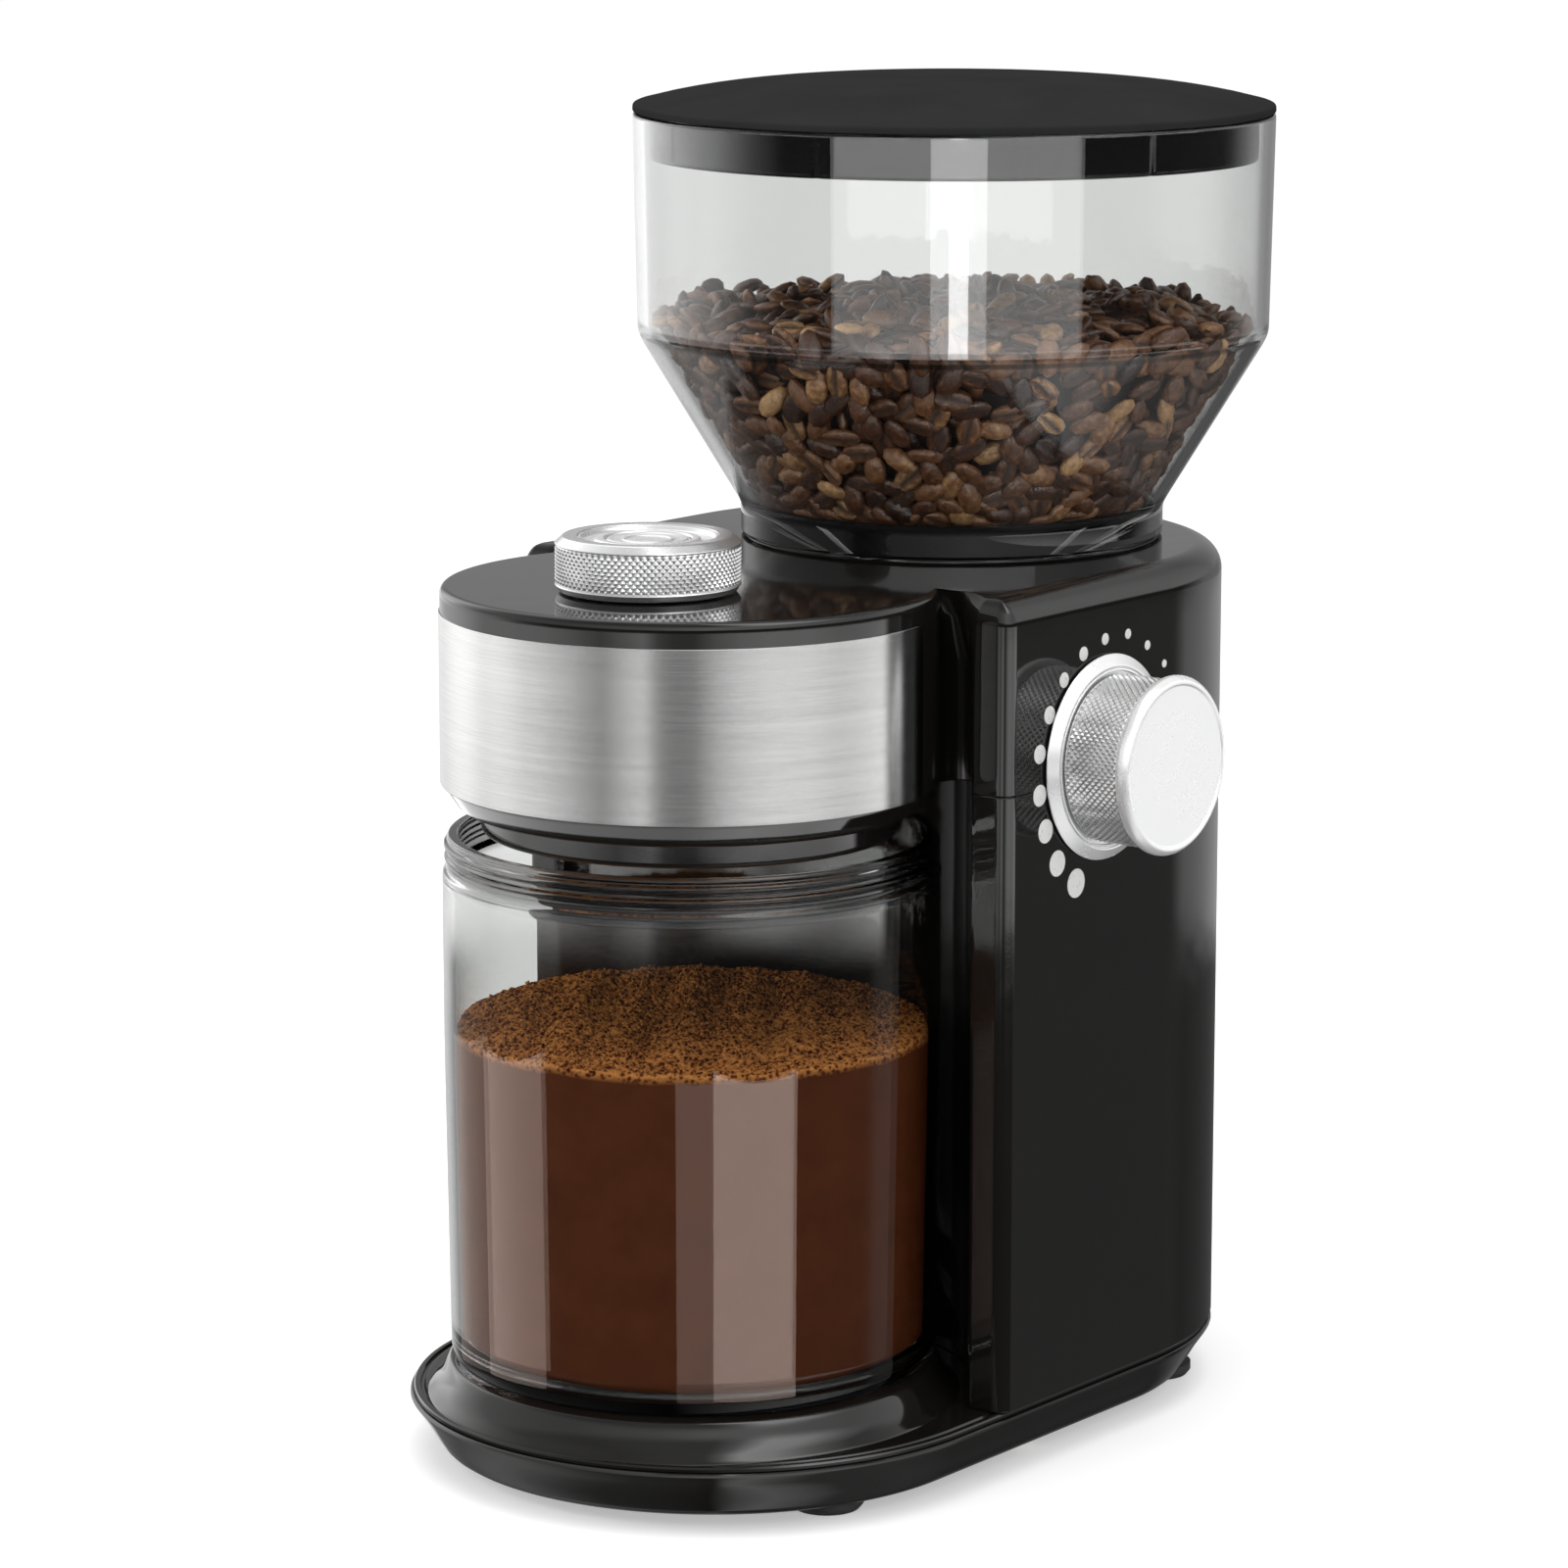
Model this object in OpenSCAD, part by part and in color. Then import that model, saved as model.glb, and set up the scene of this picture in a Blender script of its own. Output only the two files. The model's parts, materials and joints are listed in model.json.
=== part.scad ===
// Burr coffee grinder: flat burrs over a vertical motor, a side dial that sets
// the grind through a gear train, a round head over the grounds cup, and a
// lift-off bean hopper. Millimetres, +Z up, +X on the dial side, -Y in front.

/* [Grounds cup] */
// Outer radius of the cup
cup_r = 48; // [46:0.5:48.5]
// Height of the cup from its bottom to its rim
cup_h = 103.7; // [90:0.1:110]
// Wall of the cup
cup_wall = 2.2; // [1.6:0.1:3]
// Step in from the cup wall to its neck
cup_neck_step = 1; // [0.5:0.1:2]
// Height of the neck below the rim
cup_neck_h = 6.4; // [5:0.1:10]
// Height of each bead round the neck
cup_bead = 1.3; // [0.8:0.1:1.6]

/* [Base] */
// Height of the rubber feet below the base
foot_h = 2.5; // [1.5:0.1:4]
// Radius of a rubber foot
foot_r = 7.2; // [5:0.1:8]
// Height of the tapered bottom cover
cover_h = 9.9; // [8:0.1:14]
// Taper of the bottom cover, from its rim to its underside
cover_taper = 6.5; // [4:0.1:8]
// Thickness of the base tray's plate
tray_t = 1.2; // [1:0.1:2]
// Step back of the tray's edge between cover and housing
tray_step = 0.7; // [0.3:0.1:1.2]
// Height of the round plinth that carries the cup
plinth_h = 6.7; // [4:0.1:10]
// Flare of the plinth's skirt
plinth_flare = 4.3; // [2:0.1:5]
// Reach of the base in front of the cup axis
base_front = 53; // [52:0.5:56]

/* [Body] */
// Width of each cheek where the recess is widest
cheek_w = 4.85; // [4:0.05:8]
// Distance from the hopper axis to the back of the body
body_behind = 50; // [46:0.5:56]
// Distance from the cup axis back to the front faces of the cheeks
cheek_y = 20; // [16:0.5:24]
// Rounding of the cheeks' upright edges
cheek_round = 3; // [2:0.1:3.5]
// Wall of the housings
wall = 2.5; // [2:0.1:3]
// Gap between the cup and the recess behind it
recess_gap = 7.15; // [6:0.05:8]
// Rounding of the housing's top edge
top_round = 5.5; // [3:0.1:6]

/* [Head] */
// Radius of the round head
head_r = 48; // [46:0.5:48.5]
// Height of the upper housing
head_h = 38; // [36:0.5:44]
// Rounding of the head's top edge
head_round = 1.4; // [0.8:0.1:2.5]
// Angle at which the grooves beside the head end, seen from the cup axis
groove_end = 31; // [28:1:34]
// Height of the steel band
band_h = 33.1; // [26:0.1:34]
// Thickness of the steel band
band_t = 0.6; // [0.4:0.1:0.8]
// Angle at which the band ends on each side, seen from the cup axis
band_end = 13; // [5:1:20]
// Height of the tapered ring below the head
ring_h = 4.4; // [3:0.1:6]
// Taper of the ring below the head
ring_taper = 3.2; // [2:0.1:5]
// Height of the throat below the ring
throat_h = 5.1; // [3:0.1:7]
// Outer radius of the throat
throat_r = 40.5; // [36:0.5:42]
// Radius of the spout's hole
spout_r = 12; // [10:0.5:16]

/* [Hopper] */
// Outer radius of the hopper at its rim
hopper_r = 64; // [58:0.5:66]
// Draft of the hopper's upright wall
hopper_draft = 0.8; // [0.4:0.1:1.5]
// Height of the upright wall
bowl_h = 43.8; // [36:0.1:50]
// Height of the cone
cone_h = 34; // [26:0.1:40]
// Height of the neck above the deck
neck_h = 6.6; // [4:0.1:10]
// Outer radius of the neck
neck_r = 42.5; // [40:0.5:43]
// Wall of the hopper
hopper_wall = 2.2; // [1.8:0.1:3]
// Radius of the hopper's outlet
outlet_r = 14; // [12:0.5:15]
// Height of the lid's edge
lid_edge = 1.6; // [1:0.1:2.5]
// Rise of the lid's dome above its edge
lid_rise = 4.8; // [4:0.1:12]
// How flat the dome stays towards its edge
lid_flatness = 3.5; // [2:0.1:4.5]
// Depth of the lid's skirt below its edge
lid_skirt = 9; // [6:0.1:12]
// Gap between the lid's skirt and the hopper wall
lid_gap = 0.9; // [0.4:0.1:2]
// Wall of the lid
lid_wall = 2; // [1.5:0.1:2.5]

/* [Grind dial] */
// Distance from the cup axis back to the dial axis
dial_y = 52; // [50:0.5:54]
// Height of the dial axis above the head's floor
dial_up = 3.4; // [3.2:0.1:4]
// Radius of the dial's flange
flange_r = 20.1; // [18:0.1:22]
// Thickness of the dial's flange
flange_t = 1.8; // [1.2:0.1:2.5]
// Radius of the knurled grip
grip_r = 16.4; // [14:0.1:17]
// Length of the knurled grip
grip_l = 11.6; // [8:0.1:14]
// Radius of the dial's cap
cap_r = 17.4; // [15:0.1:18]
// Thickness of the dial's cap
cap_t = 3.2; // [2:0.1:4]
// Radius of the dial's shaft
dial_shaft_r = 3; // [2.5:0.1:3.2]

/* [Quantity knob] */
// Distance from the cup axis forward to the knob axis
knob_front = 13; // [10:0.5:16]
// Radius of the knob
knob_r = 17.8; // [16:0.1:20]
// Height of the knob
knob_h = 10.5; // [9:0.1:13]
// Radius of the start button
button_r = 8; // [6:0.1:9]
// Travel of the start button
button_travel = 1.5; // [1:0.1:1.8]

/* [Burrs and gears] */
// Radius of the burrs
burr_r = 24; // [22:0.5:24.5]
// Gap between the burrs at the finest setting
burr_gap = 0.4; // [0.3:0.05:0.6]
// Rise of the upper burr from the finest to the coarsest setting
burr_rise = 0.8; // [0.5:0.1:0.8]
// Number of grooves in each burr
burr_grooves = 16; // [12:1:20]
// Module of the gears
gear_m = 1; // [1:0.01:1.02]
// Teeth of the adjusting ring
ring_teeth = 65; // [65:1:66]
// Teeth of the idler's spur gear
idler_teeth = 20; // [20:1:21]
// Teeth of the idler's face gear
face_teeth = 20; // [20:1:20]
// Teeth of the dial's pinion
pinion_teeth = 10; // [10:1:10]

/* [Motor] */
// Width of the motor's lamination stack
stack_w = 48; // [44:0.5:49]
// Gap between the recess's wall and the motor
motor_gap = 2.35; // [1:0.05:4]
// Height of the lamination stack
stack_h = 30; // [24:0.5:34]
// Radius of the armature
armature_r = 14; // [12:0.1:14.5]
// Radius of the motor shaft
shaft_r = 4; // [3.5:0.1:4.5]
// Radius of the cooling fan
fan_r = 23; // [20:0.5:24]
// Blades of the cooling fan
fan_blades = 9; // [7:1:11]

/* [Clearances] */
// Gap between parts that seat on each other and move
seat_gap = 0.3; // [0.2:0.05:0.4]
// Radial clearance of a shaft in its bearing
run_gap = 0.05; // [0.02:0.01:0.09]
// Gap between the cup's rim and the throat above it
rim_gap = 0.5; // [0.4:0.1:1]

/* [Hidden] */
eps = 0.01;
smooth = 96;
fine = 48;

black = "#1b1b1d";
dark = "#2c2c2f";
steel = "#c4c4c2";
bright = "#dcdcde";
clear = "#b9c2bf";
copper = "#b5703a";
rubber = "#202020";
zinc = "#9a9ca0";
board = "#2f5d3a";

// Heights, from the floor up
cover_z = foot_h;
lip_z = foot_h + cover_h;
tray_z = lip_z + tray_t;
plinth_z = tray_z + plinth_h;
cup_z = plinth_z + seat_gap;
rim_z = cup_z + cup_h;
throat_z = rim_z + rim_gap;
ring_z = throat_z + throat_h;
head_z = ring_z + ring_h;
floor_z = head_z + wall;
deck_z = head_z + head_h;
ceiling_z = deck_z - wall;
band_z = head_z;

// Plan of the base and the body
recess_r = cup_r + recess_gap;
body_half_w = recess_r + cheek_w;
hopper_y = recess_r + wall + motor_gap + stack_w / 2;
body_back = hopper_y + body_behind;
rear_y = body_back - body_half_w;
front_y = body_half_w - base_front;
groove_mid = (head_r + recess_r) / 2;
groove_half = (recess_r - head_r) / 2;

// The model stands with the middle of its bounding box on the origin
x_high = body_half_w + seat_gap + flange_t + grip_l + cap_t;
x_low = -max(hopper_r, body_half_w);
y_high = max(hopper_y + hopper_r, body_back);
y_low = -base_front;
frame_x = -(x_high + x_low) / 2;
frame_y = -(y_high + y_low) / 2;

module placed() {
    translate([frame_x, frame_y, 0]) children();
}

module at_hopper() {
    placed() translate([0, hopper_y, 0]) children();
}

module at_knob() {
    placed() translate([0, -knob_front, 0]) children();
}

module at_dial() {
    placed() translate([0, dial_y, dial_z]) rotate([0, 90, 0]) children();
}

// A ring between two radii, from z0 to z1
module tube(r_out, r_in, z0, z1, facets = smooth) {
    translate([0, 0, z0]) difference() {
        cylinder(r = r_out, h = z1 - z0, $fn = facets);
        translate([0, 0, -eps])
            cylinder(r = r_in, h = z1 - z0 + 2 * eps, $fn = facets);
    }
}

module disc(r, z0, z1, facets = fine) {
    translate([0, 0, z0]) cylinder(r = r, h = z1 - z0, $fn = facets);
}

// Points on an arc, and on a rounded corner between two edges
function arc(x, y, r, a0, a1, n) =
    [for (i = [0:n]) let (a = a0 + (a1 - a0) * i / n) [x + r * cos(a), y + r * sin(a)]];
function bend(p, corner, q, n = 6) =
    [for (i = [0:n]) let (t = i / n) (1 - t) * (1 - t) * p + 2 * t * (1 - t) * corner + t * t * q];
function mirrored(points) =
    [for (i = [len(points) - 1:-1:0]) [-points[i][0], points[i][1]]];

// Outline of the base, drawn in by inset: a half circle at each end
function base_outline(inset) = concat(
    arc(0, front_y, body_half_w - inset, 180, 360, 40),
    arc(0, rear_y, body_half_w - inset, 0, 180, 40));

// The right cheek, from its inner corner round to the middle of the back
function cheek_path(inset, side_inset, turn) =
    let (r = recess_r + inset,
         y = cheek_y + inset,
         inner = [sqrt(r * r - y * y), y],
         x = max(body_half_w - side_inset, inner[0] + 0.8),
         c = max(cheek_round - side_inset, 0.5),
         reach = min(r * turn * PI / 180, (x - c - inner[0]) * 0.6),
         on_arc = r * [cos(asin(y / r) + turn), sin(asin(y / r) + turn)])
    concat(
        bend(on_arc, inner, inner + [reach, 0]),
        bend([x - c, y], [x, y], [x, y + c]),
        arc(0, rear_y, x, 0, 90, 20));

corner_turn = 1.5;
web_corner = [head_r - 1.2, cheek_y + 2.8];
web_drop = 14.5;

// Outline of the lower housing: cheeks and back round the cup's recess
function lower_outline(inset) =
    let (right = cheek_path(inset, inset, corner_turn),
         r = recess_r + inset,
         a = asin((cheek_y + inset) / r) + corner_turn,
         back = arc(0, 0, r, 180 - a, a, 28))
    concat(right, mirrored([for (i = [0:len(right) - 2]) right[i]]),
           [for (i = [1:len(back) - 2]) back[i]]);

// Outline of the upper housing: the head, a groove on each side, and the body.
// As web goes from 0 to 1, a sloping web closes the groove and cuts the cheek's corner.
function upper_outline(inset, head_inset, side_inset, web = 0) =
    let (a = groove_end,
         front = arc(0, 0, head_r - head_inset, 180 - a + 2, 360 + a - 2, 64),
         groove = arc(groove_mid * cos(a), groove_mid * sin(a), groove_half + inset, a + 180, a, 10),
         cheek = cheek_path(inset, side_inset, corner_turn),
         start = front[64],
         open = concat(groove, [for (i = [0:6]) cheek[i]]),
         closed = concat([for (i = [1:11]) start + (web_corner - start) * i / 11],
                         [for (i = [1:7]) web_corner + (cheek[6] - web_corner) * i / 7]),
         right = concat(open * (1 - web) + closed * web, [for (i = [7:len(cheek) - 1]) cheek[i]]))
    concat(front, right, mirrored([for (i = [0:len(right) - 2]) right[i]]));

// A solid skinned over outlines of equal length, one at each height
module loft(outlines, heights) {
    n = len(outlines[0]);
    rings = len(heights);
    points = [for (k = [0:rings - 1]) for (p = outlines[k]) [p[0], p[1], heights[k]]];
    sides = [for (k = [0:rings - 2]) for (i = [0:n - 1])
        let (a = k * n + i, b = k * n + (i + 1) % n)
        for (face = [[a, a + n, b + n], [a, b + n, b]]) face];
    caps = [[for (i = [0:n - 1]) i], [for (i = [n - 1:-1:0]) (rings - 1) * n + i]];
    polyhedron(points, concat(sides, caps), convexity = 8);
}

module slab(outline, z0, z1) {
    translate([0, 0, z0]) linear_extrude(z1 - z0) polygon(outline);
}

// Four spots inside the wall: two on the sides and two at the rounded back
function around_wall(from_wall, side_y, rear_angle) =
    let (r = body_half_w - from_wall)
    [for (sx = [-1, 1]) for (p = [[r, rear_y + side_y],
                                  [r * sin(rear_angle), rear_y + r * cos(rear_angle)]])
        [sx * p[0], p[1]]];

// ---- Base

screw_r = 1.6;
screw_head_r = 3;
screw_head_h = 2;
screw_clear = 0.15;
boss_r = 4.2;
boss_h = 13;
rib_t = 2;
cover_floor = 2;
screw_in = cover_taper + screw_head_r + 1.5;
base_screw_spots = around_wall(screw_in, -32, 45);
foot_in = 18.5;
foot_spots = [for (sx = [-1, 1]) for (y = [front_y - foot_in, rear_y + foot_in + foot_r]) [sx * (body_half_w - foot_in), y]];
vent_slots = 16;
vent_in = fan_r * 0.45;
vent_out = fan_r * 0.95;
vent_w = 2.2;

module each_spot(spots) {
    for (p = spots) translate([p[0], p[1], 0]) children();
}

module bottom_cover() {
    color(black) placed() difference() {
        loft([base_outline(cover_taper), base_outline(cover_taper - 1.5),
              base_outline(cover_taper * 0.3), base_outline(0), base_outline(0.2)],
             [cover_z, cover_z + 0.9, lip_z - 3.4, lip_z - 0.8, lip_z]);
        slab(base_outline(cover_taper + wall), cover_z + cover_floor, lip_z + 1);
        each_spot(base_screw_spots) {
            disc(screw_r + screw_clear, cover_z - 1, lip_z);
            disc(screw_head_r + screw_clear, cover_z - 1, cover_z + cover_floor / 2);
        }
        translate([0, hopper_y, cover_z - 1]) for (i = [0:vent_slots - 1])
            rotate([0, 0, i * 360 / vent_slots])
                translate([vent_in, -vent_w / 2, 0])
                    cube([vent_out - vent_in, vent_w, cover_floor + 2]);
    }
}

module rubber_feet() {
    color(rubber) placed() each_spot(foot_spots) rotate_extrude($fn = fine)
        polygon([[0, foot_h], [foot_r, foot_h], [foot_r, foot_h * 0.4],
                 [foot_r - 0.8, 0], [foot_r * 0.45, 0], [foot_r * 0.4, 0.4], [0, 0.4]]);
}

module base_screws() {
    color(zinc) placed() each_spot(base_screw_spots) {
        disc(screw_head_r, cover_z + 0.2, cover_z + cover_floor / 2, 24);
        disc(screw_r, cover_z + 0.2, tray_z + boss_h - 2, 24);
    }
}

module base_tray() {
    color(black) placed() difference() {
        union() {
            slab(base_outline(tray_step), lip_z, tray_z);
            rotate_extrude($fn = smooth)
                polygon([[0, tray_z - tray_t / 2], [cup_r - 0.2 + plinth_flare, tray_z - tray_t / 2],
                         [cup_r - 0.2 + plinth_flare, tray_z],
                         [cup_r - 0.2 + plinth_flare * 0.35, tray_z + plinth_h * 0.4],
                         [cup_r - 0.2, plinth_z - 0.5], [cup_r - 0.7, plinth_z], [0, plinth_z]]);
        }
        disc(cup_r - 3, lip_z - 1, plinth_z - wall, smooth);
        translate([0, hopper_y, 0]) disc(fan_r, lip_z - 1, tray_z + 1, smooth);
        each_spot(base_screw_spots) disc(screw_r + screw_clear, lip_z - 1, tray_z + 1);
    }
}

// ---- Housings

boss_in = wall + boss_r - 0.6;
housing_screw_spots = around_wall(boss_in, -4, 42);
bushing_z = lip_z + 18;
bushing_r = 5.5;
bushing_flange = 7.5;
dial_z = head_z + dial_up;
bush_r = dial_shaft_r + 3;
bush_flange_r = bush_r + 2;
bush_in = 2;
bowl_r = burr_r + 3.3;
bowl_wall = 2.2;
pitch_gap = gear_m * (ring_teeth + idler_teeth) / 2;
idler_x = sqrt(pitch_gap * pitch_gap - (hopper_y - dial_y) * (hopper_y - dial_y));
face_r = gear_m * face_teeth / 2;
pinion_w = 3.4;
pinion_x = idler_x + face_r - pinion_w / 2;

module bush_hole() {
    translate([body_half_w - 2 * wall, dial_y, dial_z]) rotate([0, 90, 0])
        cylinder(r = bush_r + screw_clear, h = 3 * wall, $fn = smooth);
}

module lower_housing() {
    color(black) placed() difference() {
        union() {
            difference() {
                slab(lower_outline(0), tray_z, head_z);
                slab(lower_outline(wall), tray_z - 1, head_z + 1);
            }
            each_spot(base_screw_spots) disc(boss_r, tray_z, tray_z + boss_h);
            each_spot(housing_screw_spots) disc(boss_r, head_z - boss_h, head_z);
            for (p = base_screw_spots)
                translate([p[0], p[1], tray_z]) rotate([0, 0, atan2(max(p[1] - rear_y, 0), p[0])])
                    translate([0, -rib_t / 2, 0]) cube([screw_in - wall / 2, rib_t, boss_h]);
        }
        each_spot(base_screw_spots) disc(screw_r + screw_clear, tray_z - 1, tray_z + boss_h - 1.5);
        each_spot(housing_screw_spots) disc(screw_r + screw_clear, head_z - boss_h - 1, head_z + 1);
        translate([0, body_back + 1, bushing_z]) rotate([90, 0, 0])
            cylinder(r = bushing_r + screw_clear, h = wall + 3, $fn = fine);
        bush_hole();
    }
}

module housing_screws() {
    color(zinc) placed() each_spot(housing_screw_spots) {
        disc(screw_head_r, head_z - boss_h - screw_head_h, head_z - boss_h, 24);
        disc(screw_r, head_z - boss_h - screw_head_h, floor_z - 0.5, 24);
    }
}

stem_r = 6.1;
stem_bore = 4.8;
drop_r = 9.5;
chute_half = 10;
chute_wall = 2;
chute_roof = 1.5;
chute_top = floor_z + 10.5;
board_z = chute_top + 3.7;
board_t = 1.6;
board_w = 56;
board_d = 40;
relay = [13, 16, 11];
capacitor_r = 5;
capacitor_h = 9;
post_r = 2.6;
spout_out = spout_r + wall;
post_spots = [for (sx = [-1, 1]) for (sy = [-1, 1]) [sx * (board_w / 2 - 4), -knob_front + sy * (board_d / 2 - 4)]];
insert_r = neck_r - 1.3;
socket_r = insert_r + wall + 1;
shaft_hole = shaft_r + 1.5;

module upper_housing() {
    steps = [0, 0.3, 0.6, 0.85, 1];
    insets = [for (s = steps) 1 - sqrt(1 - s * s)];
    color(black) placed() difference() {
        loft(concat([upper_outline(0, 0, 0), upper_outline(0, 0, 0)],
                    [for (i = [0:4]) let (k = insets[i])
                        upper_outline(top_round * 0.6 * k, head_round * k, top_round * k,
                                      1 - (1 - steps[i]) * top_round / web_drop)]),
             concat([head_z, deck_z - web_drop], [for (s = steps) deck_z - top_round + top_round * s]));
        difference() {
            slab(upper_outline(wall, wall, wall), floor_z, ceiling_z);
            each_spot(post_spots) disc(post_r, board_z + board_t, deck_z, 24);
        }
        translate([0, hopper_y, 0]) {
            disc(insert_r + seat_gap, ceiling_z - 1, deck_z + 1, smooth);
            disc(shaft_hole, head_z - 1, floor_z + 1);
        }
        translate([0, -knob_front, 0]) disc(stem_r + 0.5, ceiling_z - 1, deck_z + 1);
        disc(drop_r + 0.5, head_z - 1, floor_z + 1);
        each_spot(housing_screw_spots) disc(screw_r + screw_clear, head_z - 1, floor_z - 0.4);
        translate([pinion_x - 1, dial_y - bush_flange_r - 0.5, head_z - 1])
            cube([body_half_w - wall - pinion_x + 1, 2 * bush_flange_r + 1, wall + 2]);
        bush_hole();
        rotate([0, 0, 180 - band_end - 0.2]) translate([0, 0, band_z - 1])
            rotate_extrude(angle = 180 + 2 * band_end + 0.4, $fn = smooth)
                translate([head_r - band_t - 0.1, 0]) square([5, band_h + 1.1]);
    }
}

module steel_band() {
    color(steel) placed() rotate([0, 0, 180 - band_end]) translate([0, 0, band_z])
        rotate_extrude(angle = 180 + 2 * band_end, $fn = smooth)
            translate([head_r - band_t, 0]) square([band_t, band_h]);
}

module head_base() {
    color(black) placed() rotate_extrude($fn = smooth)
        polygon([[spout_out + screw_clear, head_z], [head_r - 0.4, head_z], [head_r - ring_taper, ring_z],
                 [throat_r, ring_z], [throat_r, throat_z + 0.8], [throat_r - 0.8, throat_z],
                 [throat_r - wall, throat_z], [throat_r - wall, ring_z + 0.5],
                 [spout_out + screw_clear, ring_z + 0.5]]);
}

module spout() {
    color(dark) placed() tube(spout_out, spout_r, throat_z + 1, head_z);
}

// ---- Hopper and its socket

ledge_z = ceiling_z - 5;
ledge_t = 2.5;
lug_w = 6;
lug_t = 2;
lug_angles = [90, 210, 330];
carrier_r = burr_r + 2.5;
ring_bore = carrier_r + seat_gap;
guide_out = carrier_r + 5;
funnel_r = outlet_r + 1.5;

module hopper_socket() {
    color(dark) at_hopper() difference() {
        union() {
            tube(socket_r, insert_r + seat_gap, ledge_z, ceiling_z);
            tube(socket_r, funnel_r + 4.5, ledge_z - ledge_t, ledge_z);
            for (a = lug_angles) for (side = [-1, 1]) rotate([0, 0, a])
                translate([carrier_r + 0.7, side * (lug_w / 2 + seat_gap + 1) - 1, guide_low])
                    cube([guide_out - carrier_r, 2, ledge_z - ledge_t / 2 - guide_low]);
        }
        disc(funnel_r + 4.5, ledge_z - ledge_t - 1, ledge_z + 1, smooth);
    }
}

neck_z = deck_z + seat_gap * 2;
cone_z = deck_z + neck_h;
bowl_z = cone_z + cone_h;
hopper_top = bowl_z + bowl_h;
insert_z = ledge_z + seat_gap;

module bean_hopper() {
    slope = (cone_h) / (hopper_r - hopper_draft - neck_r);
    inner_drop = hopper_wall * (sqrt(1 + slope * slope) - slope) ;
    color(clear, 0.4) at_hopper() rotate_extrude($fn = smooth)
        polygon([[hopper_r, hopper_top], [hopper_r - hopper_draft, bowl_z],
                 [neck_r, cone_z], [neck_r, neck_z], [insert_r, neck_z], [insert_r, insert_z],
                 [outlet_r, insert_z], [outlet_r, insert_z + 2],
                 [neck_r - hopper_wall, cone_z + inner_drop],
                 [hopper_r - hopper_draft - hopper_wall, bowl_z + inner_drop],
                 [hopper_r - hopper_wall, hopper_top]]);
}

lid_z = hopper_top + seat_gap;
lid_steps = 10;
lid_slits = [for (side = [0, 180]) for (a = [-116, -79, -16]) side + a];

module hopper_lid() {
    skirt_r = hopper_r - hopper_draft * lid_skirt / bowl_h - hopper_wall - lid_gap;
    crown = [for (i = [0:lid_steps]) let (t = i / lid_steps)
        [hopper_r * (1 - t), lid_z + lid_edge + lid_rise * (1 - pow(1 - t, lid_flatness))]];
    inside = [for (i = [lid_steps:-1:0]) let (t = i / lid_steps)
        [(skirt_r - lid_wall) * (1 - t),
         lid_z + lid_edge - lid_wall + lid_rise * (1 - pow(1 - t, lid_flatness))]];
    color(dark) at_hopper() difference() {
        rotate_extrude($fn = smooth)
            polygon(concat([[hopper_r, lid_z]], crown, inside,
                           [[skirt_r - lid_wall, lid_z - lid_skirt], [skirt_r, lid_z - lid_skirt],
                            [skirt_r, lid_z]]));
        for (a = lid_slits) rotate([0, 0, a])
            translate([skirt_r - 0.5, -0.4, lid_z - lid_skirt - 1])
                cube([1, 0.8, lid_skirt * 0.8]);
    }
}

// ---- Grinding chamber and chute

bowl_floor = floor_z + 2.2;
bowl_top = chute_top;

module grind_chamber() {
    color(dark) at_hopper() difference() {
        tube(bowl_r + bowl_wall, shaft_r + 0.4, floor_z, bowl_top);
        tube(bowl_r, shaft_r + 2.4, bowl_floor, bowl_top + 1);
        disc(shaft_r + 3, bowl_floor + 0.6, bowl_top + 1);
        translate([-chute_half, -bowl_r - 2 * bowl_wall, bowl_floor])
            cube([2 * chute_half, bowl_r, bowl_top]);
    }
}

chute_end = -12;

module chute() {
    back = hopper_y - bowl_r;
    color(dark) placed() difference() {
        translate([-chute_half - chute_wall, chute_end, floor_z])
            cube([2 * (chute_half + chute_wall), back - chute_end, chute_top - floor_z]);
        translate([-chute_half, chute_end + chute_wall, bowl_floor])
            cube([2 * chute_half, back - chute_end + 1, chute_top - bowl_floor - chute_roof]);
        disc(drop_r, floor_z - 1, bowl_floor + 1);
        translate([0, hopper_y, 0]) disc(bowl_r + bowl_wall + 0.05, floor_z - 1, chute_top + 1, smooth);
    }
}

// ---- Motor

mount_h = 5.3;
bracket_t = 3;
upper_bracket_z = head_z - mount_h - bracket_t;
coil_h = 4;
stack_z = upper_bracket_z - 2 * coil_h - stack_h;
air_gap = 0.6;
pole_r = armature_r + air_gap;
window_w = 5;
window_half = 11.5;
coil_y = 5.5;
commutator_r = 9;
commutator_h = 12;
commutator_z = stack_z - 2 * coil_h - 2 - commutator_h;
lower_bracket_z = commutator_z - 4 - bracket_t;
fan_z = lower_bracket_z - 4 - 11;
fan_h = 10;
bolt_r = 1.6;
bolt_head_h = 2;
bolt_at = stack_w / 2 - 4.5;
bolt_spots = [for (sx = [-1, 1]) for (sy = [-1, 1]) [sx * bolt_at, sy * bolt_at]];
post_side = 7;
bearing_r = shaft_r + 4;
bearing_h = 6;

module stack_outline() {
    corner = 3;
    polygon([for (q = [0:3]) for (p = arc(0, 0, corner, 0, 90, 4))
        let (x = stack_w / 2 - corner + p[0], y = stack_w / 2 - corner + p[1],
             a = 90 * q)
        [x * cos(a) - y * sin(a), x * sin(a) + y * cos(a)]]);
}

module stator_stack() {
    color(zinc) at_hopper() translate([0, 0, stack_z]) linear_extrude(stack_h) difference() {
        stack_outline();
        circle(r = pole_r, $fn = smooth);
        square([2 * (pole_r + window_w), 2 * window_half], center = true);
        for (p = bolt_spots) translate(p) circle(r = bolt_r + screw_clear, $fn = 24);
    }
}

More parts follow.
